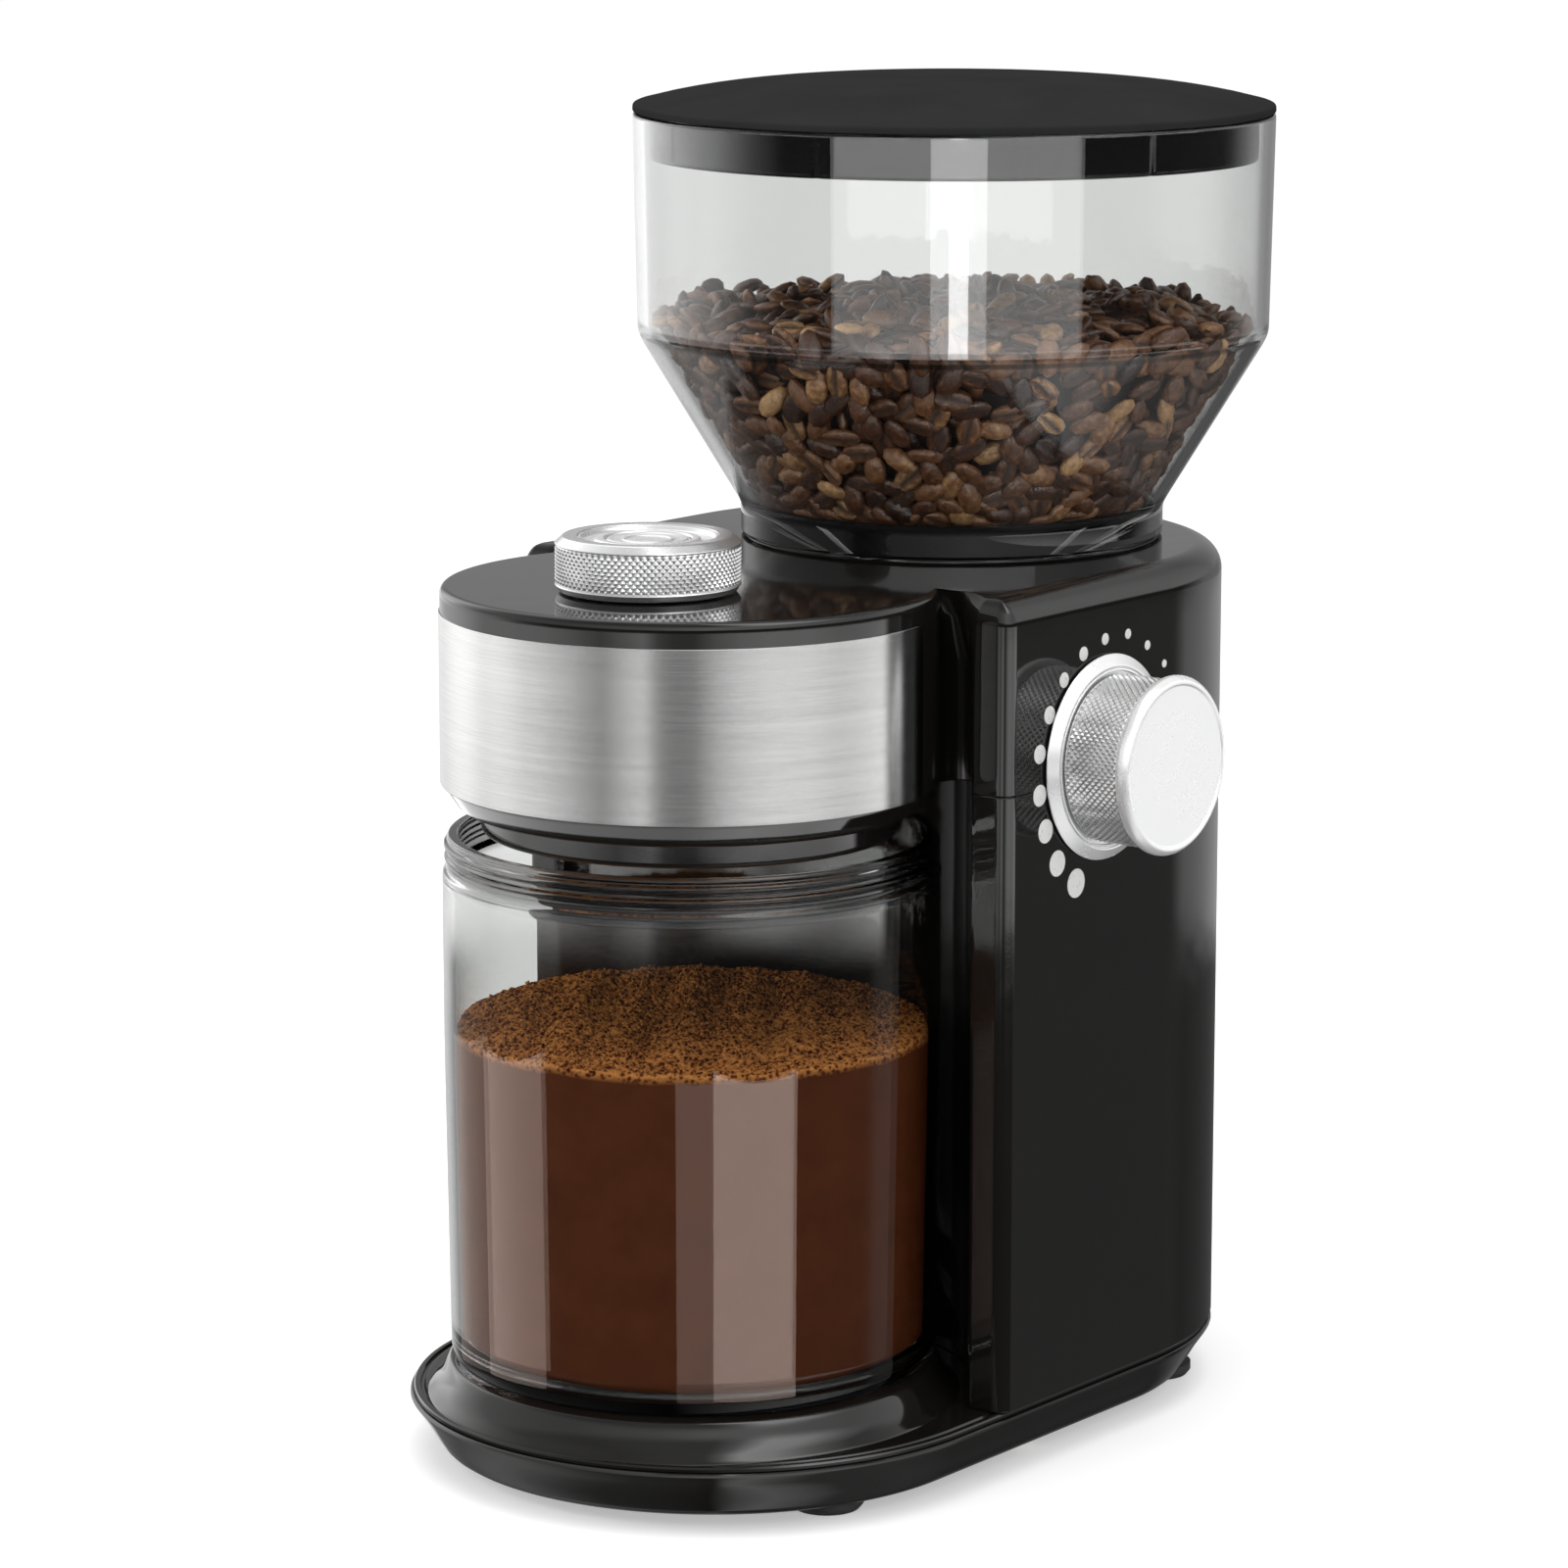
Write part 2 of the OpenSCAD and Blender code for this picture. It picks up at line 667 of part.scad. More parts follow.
module coil_ring() {
    x_out = pole_r + window_w - 0.3;
    x_in = pole_r + 0.2;
    difference() {
        translate([-x_out, 0, -2 * coil_h]) cube([2 * x_out, window_half - 0.3 - coil_y, stack_h + 4 * coil_h]);
        translate([-x_in, -1, -coil_h]) cube([2 * x_in, window_half + 2, stack_h + 2 * coil_h]);
    }
}

module field_coils() {
    color(copper) at_hopper() translate([0, 0, stack_z]) for (side = [0, 1])
        mirror([0, side, 0]) translate([0, coil_y, 0]) coil_ring();
}

module bracket(z, post_z0, post_z1) {
    difference() {
        union() {
            translate([0, 0, z]) linear_extrude(bracket_t) difference() {
                stack_outline();
                for (a = [0:90:270]) rotate(a) translate([13.5, 0]) square([6, 14], center = true);
            }
            each_spot(bolt_spots)
                translate([-post_side / 2, -post_side / 2, min(post_z0, post_z1)])
                    cube([post_side, post_side, abs(post_z1 - post_z0)]);
        }
        disc(bearing_r + 0.05, z - 1, z + bracket_t + 1);
        each_spot(bolt_spots) disc(bolt_r + screw_clear, min(z, post_z0) - 1, max(z + bracket_t, post_z1) + 1, 24);
    }
}

module upper_bracket() {
    color(zinc) at_hopper() bracket(upper_bracket_z, stack_z + stack_h, upper_bracket_z);
}

module lower_bracket() {
    color(zinc) at_hopper() bracket(lower_bracket_z, lower_bracket_z + bracket_t, stack_z);
}

module motor_bolts() {
    color(steel) at_hopper() each_spot(bolt_spots) {
        disc(bolt_r, lower_bracket_z - bolt_head_h, upper_bracket_z + bracket_t, 24);
        disc(bolt_r * 1.8, lower_bracket_z - bolt_head_h, lower_bracket_z, 24);
    }
}

module motor_mounts() {
    at = stack_w / 2 - 7;
    color(rubber) at_hopper() for (a = [45:90:315]) rotate([0, 0, a])
        translate([at, 0, 0]) tube(3.5, 1.2, upper_bracket_z + bracket_t, head_z, fine);
}

module bearing(z_mid) {
    tube(bearing_r, shaft_r + run_gap, z_mid - bearing_h / 2, z_mid + bearing_h / 2);
}

module upper_bearing() {
    color("#a8895a") at_hopper() bearing(upper_bracket_z + bearing_h / 2);
}

module lower_bearing() {
    color("#a8895a") at_hopper() bearing(lower_bracket_z + bracket_t / 2);
}

brush_w = 5;
brush_in = commutator_r + seat_gap;
holder_in = commutator_r + 2;
holder_out = stack_w / 2 - 1;
brush_z = commutator_z + commutator_h / 2 - brush_w / 2;

module brush_holders() {
    color(dark) at_hopper() for (side = [0, 1]) mirror([side, 0, 0]) difference() {
        union() {
            translate([holder_in, -brush_w / 2 - 1.5, brush_z - 1.5])
                cube([holder_out - holder_in, brush_w + 3, brush_w + 3]);
            translate([holder_out - 6, -brush_w / 2 - 1.5, lower_bracket_z + bracket_t])
                cube([6, brush_w + 3, brush_z - 1.5 - lower_bracket_z - bracket_t]);
        }
        translate([holder_in - 1, -brush_w / 2 - 0.1, brush_z - 0.1])
            cube([holder_out - holder_in - 1, brush_w + 0.2, brush_w + 0.2]);
    }
}

module carbon_brushes() {
    color("#303030") at_hopper() for (side = [0, 1]) mirror([side, 0, 0])
        translate([brush_in, -brush_w / 2, brush_z]) cube([holder_out - 4 - brush_in, brush_w, brush_w]);
}

// ---- Board, switch and knob seat

module control_board() {
    color(board) placed() difference() {
        union() {
            translate([-board_w / 2, -knob_front - board_d / 2, board_z]) cube([board_w, board_d, board_t]);
            translate([chute_half + chute_wall + 2, -knob_front - relay[1] / 2, board_z - relay[2]])
                cube([relay[0], relay[1], relay[2] + 0.5]);
            translate([-chute_half - chute_wall - capacitor_r - 3, -knob_front, board_z - capacitor_h])
                cylinder(r = capacitor_r, h = capacitor_h + 0.5, $fn = fine);
        }
        each_spot(post_spots) disc(1.2, board_z - 1, board_z + board_t + 1, 24);
    }
}

switch_side = 6;
switch_h = 3.4;
pot_r = 11;
pot_h = 7.4;
board_top = board_z + board_t;

module start_switch() {
    color("#c0c0b8") at_knob() translate([-switch_side / 2, -switch_side / 2, board_top])
        cube([switch_side, switch_side, switch_h]);
}

module timer_pot() {
    color("#3c4a6a") at_knob() difference() {
        union() {
            tube(pot_r, stem_r + seat_gap, board_top, board_top + pot_h);
            translate([-pot_r, stem_r + 2, board_top]) cube([2 * pot_r, 6, pot_h - 2]);
        }
        disc(stem_r + seat_gap, board_top - 1, board_top + pot_h + 1);
    }
}

cord_r = 3.4;
bushing_out = 6;
bushing_sag = 0.6;

module cord_bushing() {
    color(rubber) placed() translate([0, body_back, bushing_z]) rotate([-90, 0, 0]) difference() {
        union() {
            disc(bushing_r, -wall - 2, bushing_out);
            disc(bushing_flange, 0.5, 2);
            disc(bushing_flange, -wall - 2, -wall - bushing_sag);
        }
        disc(cord_r, -wall - 3, bushing_out + 1);
    }
}

// ---- Grind dial

flange_x = body_half_w + seat_gap;
grip_x = flange_x + flange_t;
cap_x = grip_x + grip_l;

module dial_bush() {
    color("#d8d4c8") at_dial() {
        tube(bush_r, dial_shaft_r + run_gap, body_half_w - wall - bush_in, body_half_w);
        tube(bush_flange_r, bush_r - 0.5, body_half_w - wall - bush_in, body_half_w - wall);
    }
}

module dial_flange() {
    color(bright) at_dial() rotate_extrude($fn = smooth)
        polygon([[dial_shaft_r + run_gap, flange_x], [flange_r - 0.4, flange_x], [flange_r, flange_x + 0.4],
                 [flange_r - 1.2, grip_x], [grip_r + 0.9, grip_x], [grip_r + 0.6, grip_x - 0.7],
                 [dial_shaft_r + run_gap, grip_x - 0.7]]);
}

knurl_depth = 0.4;
knurl_ribs = 60;

module knurl_outline(r) {
    polygon([for (i = [0:2 * knurl_ribs - 1])
        let (a = i * 180 / knurl_ribs, q = r - (i % 2) * knurl_depth)
        [q * cos(a), q * sin(a)]]);
}

module dial_grip() {
    color(steel) at_dial() difference() {
        union() {
            translate([0, 0, grip_x - 0.7]) linear_extrude(grip_l + 0.7) knurl_outline(grip_r);
        }
        disc(grip_r - 3, grip_x + 2, cap_x + 1, smooth);
        disc(dial_shaft_r + run_gap, grip_x - 1, cap_x);
    }
}

module dial_cap() {
    color(bright) at_dial() difference() {
        rotate_extrude($fn = smooth)
            polygon([[0, cap_x], [grip_r, cap_x], [cap_r, cap_x + 0.8], [cap_r, cap_x + cap_t - 1],
                     [cap_r - 1, cap_x + cap_t], [cap_r - 1.8, cap_x + cap_t],
                     [cap_r - 2, cap_x + cap_t - 0.3], [0, cap_x + cap_t - 0.3]]);
        rotate([0, 0, 30]) translate([0, 0, cap_x + cap_t - 0.8]) linear_extrude(1)
            polygon([[0, 0], [cap_r - 3.2, -0.35], [cap_r - 3.2, 0.35]]);
    }
}

module dial_shaft() {
    color(steel) at_dial() disc(dial_shaft_r, pinion_x, cap_x, fine);
}

// Outline of a spur gear: trapezoid teeth on a pitch circle
function gear_outline(teeth, m, thin) = [
    for (i = [0:teeth - 1]) let (r = teeth * m / 2, a = 360 / teeth * i, h = 90 / teeth - thin * 180 / PI / r)
    for (p = [[r - 1.25 * m, -h - 44 / teeth], [r + m, -h * 0.46], [r + m, h * 0.46], [r - 1.25 * m, h + 44 / teeth]])
    [p[0] * cos(a + p[1]), p[0] * sin(a + p[1])]];

backlash = 0.12;
mesh_angle = atan2(dial_y - hopper_y, idler_x);

module dial_pinion() {
    color(bright) at_dial() translate([0, 0, pinion_x]) difference() {
        linear_extrude(pinion_w) rotate(180 / pinion_teeth)
            polygon(gear_outline(pinion_teeth, gear_m, backlash));
        translate([0, 0, -1]) cylinder(r = dial_shaft_r + run_gap / 2, h = pinion_w + 2, $fn = fine);
    }
}

// ---- Idler and adjusting ring

face_root_z = dial_z + gear_m * (pinion_teeth / 2 + 1) + 0.25;
face_tip_z = dial_z + gear_m * (pinion_teeth / 2 - 1.25) + 0.45;
ring_bottom = bowl_top + seat_gap;
spur_z = ring_bottom - seat_gap;
gear_h = 6;
ring_tall = 11;
idler_top = ring_bottom + gear_h - 0.3;
pin_r = 2.5;
pin_base_r = 5;
pin_base_h = 1.9;

module idler_gear() {
    color("#d9d4c4") placed() translate([idler_x, dial_y, 0]) difference() {
        union() {
            translate([0, 0, spur_z]) linear_extrude(idler_top - spur_z)
                rotate(mesh_angle + 180 + 180 / idler_teeth)
                    polygon(gear_outline(idler_teeth, gear_m, backlash));
            disc(face_r + pinion_w / 2, face_root_z, spur_z + 0.01, smooth);
            disc(face_r - pinion_w / 2 - 2, floor_z + pin_base_h + seat_gap, spur_z);
            for (i = [0:face_teeth - 1]) rotate([0, 0, i * 360 / face_teeth]) {
                translate([face_r, 0, face_tip_z]) rotate([90, 0, 90])
                    linear_extrude(pinion_w, center = true)
                        polygon([[-0.22, 0], [0.22, 0], [0.66, face_root_z - face_tip_z + eps],
                                 [-0.66, face_root_z - face_tip_z + eps]]);
            }
        }
        disc(pin_r + run_gap, floor_z, idler_top + 1);
    }
}

module idler_pin() {
    color(steel) placed() translate([idler_x, dial_y, 0]) {
        disc(pin_base_r, floor_z, floor_z + pin_base_h);
        disc(pin_r, floor_z, idler_top + seat_gap + 0.8);
        disc(pin_r + 1.5, idler_top + seat_gap, idler_top + seat_gap + 0.8);
    }
}

ring_top = ring_bottom + ring_tall;

module adjusting_ring() {
    root = gear_m * (ring_teeth / 2 - 1.25);
    color("#d9d4c4") at_hopper() difference() {
        union() {
            translate([0, 0, ring_bottom]) linear_extrude(gear_h)
                rotate(mesh_angle) polygon(gear_outline(ring_teeth, gear_m, backlash));
            disc(root - 1, ring_bottom, ring_top, smooth);
        }
        disc(ring_bore, ring_bottom - 1, ring_top + 1, smooth);
    }
}

// ---- Burrs

lower_burr_z = bowl_floor + 2.4;
lower_burr_t = 6;
upper_burr_z = lower_burr_z + lower_burr_t + burr_gap;
upper_burr_t = 5.4;
burr_hole = 14;
groove_depth = 1.1;
web_t = 2.4;
carrier_low = upper_burr_z + 1.5;
carrier_web = upper_burr_z + upper_burr_t;
lug_z = ring_top + seat_gap * 2;
guide_low = lug_z + 0.4;
carrier_top = lug_z + lug_t;

module burr_cuts(z) {
    for (i = [0:burr_grooves - 1]) rotate([0, 0, i * 360 / burr_grooves + 12])
        translate([burr_r * 0.36, 3.2, z]) rotate([45, 0, 14])
            cube([burr_r, groove_depth * 1.4, groove_depth * 1.4], center = false);
}

module burr_ring(z0, thickness, hole, face_z) {
    difference() {
        tube(burr_r, hole, z0, z0 + thickness);
        burr_cuts(face_z - groove_depth);
    }
}

module lower_burr() {
    color(steel) at_hopper() burr_ring(lower_burr_z, lower_burr_t, 10, lower_burr_z + lower_burr_t);
}

module upper_burr() {
    color(steel) at_hopper() burr_ring(upper_burr_z, upper_burr_t, burr_hole, upper_burr_z - groove_depth / 2);
}

module burr_carrier() {
    color(dark) at_hopper() difference() {
        union() {
            disc(carrier_r, carrier_low, carrier_top, smooth);
            for (a = lug_angles) rotate([0, 0, a])
                translate([carrier_r - 1, -lug_w / 2, lug_z]) cube([guide_out - carrier_r, lug_w, lug_t]);
        }
        disc(burr_r + 0.05, carrier_low - 1, carrier_web, smooth);
        disc(funnel_r, carrier_web - 1, carrier_top + 1, smooth);
        tube(carrier_r - 1.8, funnel_r + 2.2, carrier_web + web_t, carrier_top + 1);
    }
}

// A thin wavy ring: three waves between the adjusting ring and the carrier's lugs
module carrier_spring() {
    n = 72;
    strip = 0.2;
    mid = (ring_top + lug_z) / 2;
    lift = (lug_z - ring_top - strip) / 2 - 0.02;
    points = [for (i = [0:n - 1]) let (a = 360 * i / n, z = mid + lift * cos(3 * (a - lug_angles[0])))
        for (q = [[ring_bore + 0.4, -1], [guide_out - 0.8, -1], [guide_out - 0.8, 1], [ring_bore + 0.4, 1]])
            [q[0] * cos(a), q[0] * sin(a), z + q[1] * strip / 2]];
    faces = [for (i = [0:n - 1]) for (j = [0:3])
        let (a = 4 * i + j, b = 4 * i + (j + 1) % 4, c = 4 * ((i + 1) % n) + (j + 1) % 4, d = 4 * ((i + 1) % n) + j)
        for (face = [[a, c, b], [a, d, c]]) face];
    color(steel) at_hopper() polyhedron(points, faces, convexity = 4);
}

module impeller() {
    color(dark) at_hopper() difference() {
        union() {
            disc(burr_r + 2.6, bowl_floor + 1, lower_burr_z - 0.1, smooth);
            disc(9.9, lower_burr_z - 0.2, lower_burr_z + 3);
            for (i = [0:7]) rotate([0, 0, i * 45 + 10])
                translate([burr_r + 0.2, -1, lower_burr_z - 0.2]) cube([2.4, 2, 4]);
        }
        disc(shaft_r - 1 + run_gap / 2, bowl_floor, lower_burr_z + 4);
        translate([0, 0, bowl_floor]) cylinder(r = shaft_r + 3.5, h = 1.2, $fn = fine);
    }
}

module burr_nut() {
    color(zinc) at_hopper() difference() {
        union() {
            disc(8, lower_burr_z + 3, lower_burr_z + 4);
            translate([0, 0, lower_burr_z + 3]) cylinder(r = 6, h = 6, $fn = 6);
        }
        disc(shaft_r - 1 + run_gap / 2, lower_burr_z, lower_burr_z + 10);
    }
}

// ---- Rotor

shaft_low = fan_z - 3;
shaft_step = bowl_floor + 1.05;
shaft_top = lower_burr_z + 10;
armature_slots = 12;

module motor_shaft() {
    color(steel) at_hopper() {
        disc(shaft_r, shaft_low, shaft_step);
        disc(shaft_r - 1, shaft_low, shaft_top);
    }
}

module armature() {
    color(zinc) at_hopper() translate([0, 0, stack_z]) linear_extrude(stack_h) difference() {
        circle(r = armature_r, $fn = smooth);
        circle(r = shaft_r + run_gap / 2, $fn = fine);
        for (i = [0:armature_slots - 1]) rotate(i * 360 / armature_slots)
            translate([armature_r - 5, -1]) square([6, 2]);
    }
}

module armature_winding() {
    ring = [[shaft_r + 1, 0], [armature_r - 2, 0], [armature_r - 1.4, 1.4], [armature_r - 3, 3.2], [shaft_r + 2, 3.2]];
    color(copper) at_hopper() {
        translate([0, 0, stack_z + stack_h]) rotate_extrude($fn = fine) polygon(ring);
        translate([0, 0, stack_z]) mirror([0, 0, 1]) rotate_extrude($fn = fine) polygon(ring);
    }
}

module commutator() {
    color(copper) at_hopper() difference() {
        tube(commutator_r, shaft_r + run_gap / 2, commutator_z, commutator_z + commutator_h);
        for (i = [0:armature_slots - 1]) rotate([0, 0, i * 360 / armature_slots])
            translate([commutator_r - 0.8, -0.2, commutator_z - 1]) cube([2, 0.4, commutator_h + 2]);
    }
}

module cooling_fan() {
    color(dark) at_hopper() difference() {
        union() {
            disc(7.5, fan_z, fan_z + fan_h);
            disc(fan_r, fan_z + fan_h - 1.4, fan_z + fan_h, smooth);
            for (i = [0:fan_blades - 1]) rotate([0, 0, i * 360 / fan_blades])
                translate([6.5, 0, fan_z]) rotate([0, 0, 18]) cube([fan_r - 8, 1.4, fan_h - 0.5]);
        }
        disc(shaft_r + run_gap / 2, fan_z - 1, fan_z + fan_h + 1);
    }
}

// ---- Quantity knob and start button

knob_z = deck_z + seat_gap;
knob_top = knob_z + knob_h;
knob_band = 4.4;
cap_low = knob_top - 4;
stem_low = board_top + switch_h + 1.3;
spring_seat = stem_low + 8;
button_low = knob_top - 3.6;
plunger_r = 2;

module knob_grip() {
    color(steel) at_knob() difference() {
        union() {
            translate([0, 0, knob_z + 1]) linear_extrude(knob_h - 2.6) knurl_outline(knob_r);
            rotate_extrude($fn = smooth)
                polygon([[knob_r - knob_band, knob_z], [knob_r - 0.9, knob_z], [knob_r - 0.1, knob_z + 1.2],
                         [knob_r - 0.4, knob_z + 1.4], [knob_r - 0.4, knob_top - 1.9],
                         [knob_r - 0.1, knob_top - 1.7], [knob_r - 1.6, knob_top], [knob_r - knob_band, knob_top]]);
        }
        disc(knob_r - knob_band, knob_z - 1, knob_top + 1, smooth);
    }
}

module knob_cap() {
    hub_r = button_r + seat_gap + 1.5;
    color(bright) at_knob() rotate_extrude($fn = smooth)
        polygon([[stem_r, knob_z + 1], [hub_r, knob_z + 1], [hub_r, cap_low],
                 [knob_r - knob_band - 0.05, cap_low], [knob_r - knob_band - 0.05, knob_top - 1.2],
                 [button_r + 2.2, knob_top - 1.2], [button_r + 1.8, knob_top - 0.6],
                 [button_r + seat_gap, knob_top - 0.6], [button_r + seat_gap, knob_z + 2.6],
                 [stem_r, knob_z + 2.6]]);
}

module knob_stem() {
    color(dark) at_knob() {
        tube(stem_r, plunger_r + seat_gap, stem_low, spring_seat, fine);
        tube(stem_r, stem_bore, spring_seat - 0.5, knob_z + 2.6, fine);
    }
}

module start_button() {
    color(bright) at_knob() rotate_extrude($fn = smooth)
        polygon([[0, button_low], [button_r, button_low], [button_r, knob_top - 0.9],
                 [button_r - 0.6, knob_top - 0.5], [button_r - 2.2, knob_top - 0.9], [0, knob_top - 0.9]]);
}

module button_rod() {
    color(steel) at_knob() disc(plunger_r, stem_low + 0.4, button_low);
}

spring_r = 3.9;
wire_r = 0.35;
spring_turns = 6;

// A wire of six sides swept along a helix, closed at both ends
module coil_spring(r, wire, z0, z1, turns) {
    per_turn = 14;
    n = per_turn * turns;
    points = [for (i = [0:n]) let (a = 360 * i / per_turn, z = z0 + wire + (z1 - z0 - 2 * wire) * i / n)
        for (j = [0:5]) let (q = r + wire * cos(60 * j))
            [q * cos(a), q * sin(a), z + wire * sin(60 * j)]];
    sides = [for (i = [0:n - 1]) for (j = [0:5]) let (a = 6 * i + j, b = 6 * i + (j + 1) % 6)
        for (face = [[a, b, b + 6], [a, b + 6, a + 6]]) face];
    caps = [[for (j = [5:-1:0]) j], [for (j = [0:5]) 6 * n + j]];
    polyhedron(points, concat(sides, caps), convexity = 6);
}

module button_spring() {
    color(steel) at_knob() coil_spring(spring_r, wire_r, spring_seat, button_low, spring_turns);
}

// ---- Grounds cup

module grounds_cup() {
    neck = cup_r - cup_neck_step;
    foot = cup_r - 0.8;
    shoulder = rim_z - cup_neck_h - cup_neck_step;
    straight_z = shoulder - cup_h * 0.3;
    color(clear, 0.4) placed() rotate_extrude($fn = smooth)
        polygon([[0, cup_z], [foot - 2, cup_z], [foot - 0.5, cup_z + 0.7], [foot, cup_z + 2.5],
                 [cup_r, straight_z], [cup_r, shoulder], [neck, shoulder + cup_neck_step],
                 [neck, rim_z - 2 * cup_bead - 2], [neck + 0.8, rim_z - 1.5 * cup_bead - 2],
                 [neck, rim_z - cup_bead - 2], [neck, rim_z - cup_bead],
                 [neck + 0.6, rim_z - cup_bead / 2], [neck - 0.3, rim_z],
                 [neck - cup_wall + 0.3, rim_z], [neck - cup_wall, rim_z - 0.4],
                 [neck - cup_wall, shoulder], [cup_r - cup_wall, shoulder - cup_neck_step - 1],
                 [cup_r - cup_wall, straight_z], [foot - cup_wall, cup_z + cup_wall + 3],
                 [foot - cup_wall - 2.5, cup_z + cup_wall], [0, cup_z + cup_wall]]);
}

bottom_cover();
rubber_feet();
base_screws();
base_tray();
lower_housing();
housing_screws();
upper_housing();
steel_band();
head_base();
spout();
hopper_socket();
grind_chamber();
chute();
stator_stack();
field_coils();
upper_bracket();
lower_bracket();
motor_bolts();
motor_mounts();
upper_bearing();
lower_bearing();
brush_holders();
carbon_brushes();
control_board();
timer_pot();
start_switch();
cord_bushing();
dial_bush();
idler_pin();
bean_hopper();
hopper_lid();
dial_flange();
dial_grip();
dial_cap();
dial_shaft();
dial_pinion();
idler_gear();
adjusting_ring();
burr_carrier();
upper_burr();
carrier_spring();
motor_shaft();
armature();
armature_winding();
commutator();
cooling_fan();
impeller();
lower_burr();
burr_nut();
knob_grip();
knob_cap();
knob_stem();
start_button();
button_rod();
button_spring();
grounds_cup();
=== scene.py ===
import json
import math

import bmesh
import bpy
import numpy as np
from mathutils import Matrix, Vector
from mathutils.geometry import tessellate_polygon
from mathutils.kdtree import KDTree


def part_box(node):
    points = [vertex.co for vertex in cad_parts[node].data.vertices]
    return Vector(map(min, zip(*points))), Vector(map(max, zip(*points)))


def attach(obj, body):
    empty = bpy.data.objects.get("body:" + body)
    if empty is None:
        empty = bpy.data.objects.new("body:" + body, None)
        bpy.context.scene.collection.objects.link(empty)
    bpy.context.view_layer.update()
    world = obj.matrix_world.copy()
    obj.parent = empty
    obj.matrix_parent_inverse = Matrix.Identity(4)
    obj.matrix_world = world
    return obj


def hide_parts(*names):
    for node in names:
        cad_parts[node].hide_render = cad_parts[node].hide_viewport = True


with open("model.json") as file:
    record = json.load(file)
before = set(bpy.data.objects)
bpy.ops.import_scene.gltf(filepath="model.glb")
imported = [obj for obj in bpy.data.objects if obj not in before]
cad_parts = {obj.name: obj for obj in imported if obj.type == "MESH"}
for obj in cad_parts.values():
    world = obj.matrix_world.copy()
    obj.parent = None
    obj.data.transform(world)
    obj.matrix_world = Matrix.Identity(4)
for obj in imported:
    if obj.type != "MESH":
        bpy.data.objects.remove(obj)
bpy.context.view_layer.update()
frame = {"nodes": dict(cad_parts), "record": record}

cupLow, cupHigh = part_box("grounds_cup")
cupAxis = np.array([(cupLow.x + cupHigh.x) / 2, (cupLow.y + cupHigh.y) / 2, 0])
rng = np.random.default_rng(41)

level = {
    "cover": 2.5, "coverTop": 4.5, "lip": 12.35, "tray": 13.6, "head": 134.3, "floor": 136.8, "ceiling": 169.8,
    "deck": 172.3,
}
body = {
    "halfWidth": 60, "hopperY": 84, "rearY": 74, "frontY": 7, "cheekY": 20, "cheekRound": 3, "wall": 2.5,
    "headR": 48, "recessR": 55.15, "grooveEnd": 31, "turn": 1.5, "topRound": 5.5, "headRound": 1.4, "seam": 0.22,
    "webDrop": 14.5, "webCorner": (46.8, 22.8), "hole": 41.5, "knobY": -13, "knobHole": 6.6, "drop": 10, "shaft": 5.5,
}
hopperAxis = (0, body["hopperY"])


# Points on a circle's arc: centre plus radius times (cosine, sine) of evenly spaced angles in degrees
def arc(x, y, r, a0, a1, n):
    a = np.radians(np.linspace(a0, a1, n + 1))
    return np.stack([x + r * np.cos(a), y + r * np.sin(a)], 1)


# A quadratic curve from p to q that leans towards corner: (1-t)^2 p + 2t(1-t) corner + t^2 q
def bend(p, corner, q, n=10):
    t = np.linspace(0, 1, n + 1)[:, None]
    p, corner, q = np.asarray(p, float), np.asarray(corner, float), np.asarray(q, float)
    return (1 - t) ** 2 * p + 2 * t * (1 - t) * corner + t * t * q


# Straight steps from p to q, without p
def stepsTo(p, q, n):
    t = np.arange(1, n + 1)[:, None] / n
    return np.asarray(p) + (np.asarray(q) - np.asarray(p)) * t


# A profile from corners (r, z, rounding): each rounded corner becomes a quadratic bend
def profile(corners, closed=True, steps=5):
    points = []
    total = len(corners)
    for i, corner in enumerate(corners):
        here = np.array(corner[:2], float)
        rounding = corner[2] if len(corner) > 2 else 0
        if not rounding or (not closed and i in (0, total - 1)):
            points.append(here[None])
            continue
        before = np.array(corners[i - 1][:2], float) - here
        after = np.array(corners[(i + 1) % total][:2], float) - here
        reach = [min(rounding, 0.48 * np.hypot(*v)) / np.hypot(*v) for v in (before, after)]
        points.append(bend(here + before * reach[0], here, here + after * reach[1], steps))
    return np.vstack(points)


# Points round an upright axis: x = cx + r cos a, y = cy + r sin a, z = z
def polar(r, a, z, centre=(0, 0)):
    return np.stack(np.broadcast_arrays(centre[0] + r * np.cos(a), centre[1] + r * np.sin(a), z), -1)


# Lays what was turned round an upright axis round the dial's level one: (x, y, z) becomes (z, x, y)
def laid(points):
    return points[..., [2, 0, 1]]


# Turns a profile (r, z) round an upright axis at centre
def turned(points, centre=(0, 0), angles=None, count=160):
    a = np.linspace(0, 2 * np.pi, count, endpoint=False) if angles is None else np.radians(angles)
    return polar(points[:, 0, None], a, points[:, 1, None], centre)


# Puts an outline at each of several heights
def raised(outlines, heights):
    return np.stack([np.column_stack([o, np.full(len(o), z)]) for o, z in zip(outlines, heights)])


# The quads that join a grid of rows and columns of points, open or closed each way
def quads(rows, columns, closeRows=False, closeColumns=True):
    index = np.arange(rows * columns).reshape(rows, columns)
    if closeRows:
        index = np.vstack([index, index[:1]])
    if closeColumns:
        index = np.hstack([index, index[:, :1]])
    return np.stack([index[:-1, :-1], index[:-1, 1:], index[1:, 1:], index[1:, :-1]], -1).reshape(-1, 4)


def placed(name, data):
    made = bpy.data.objects.new(name, data)
    bpy.context.scene.collection.objects.link(made)
    return made


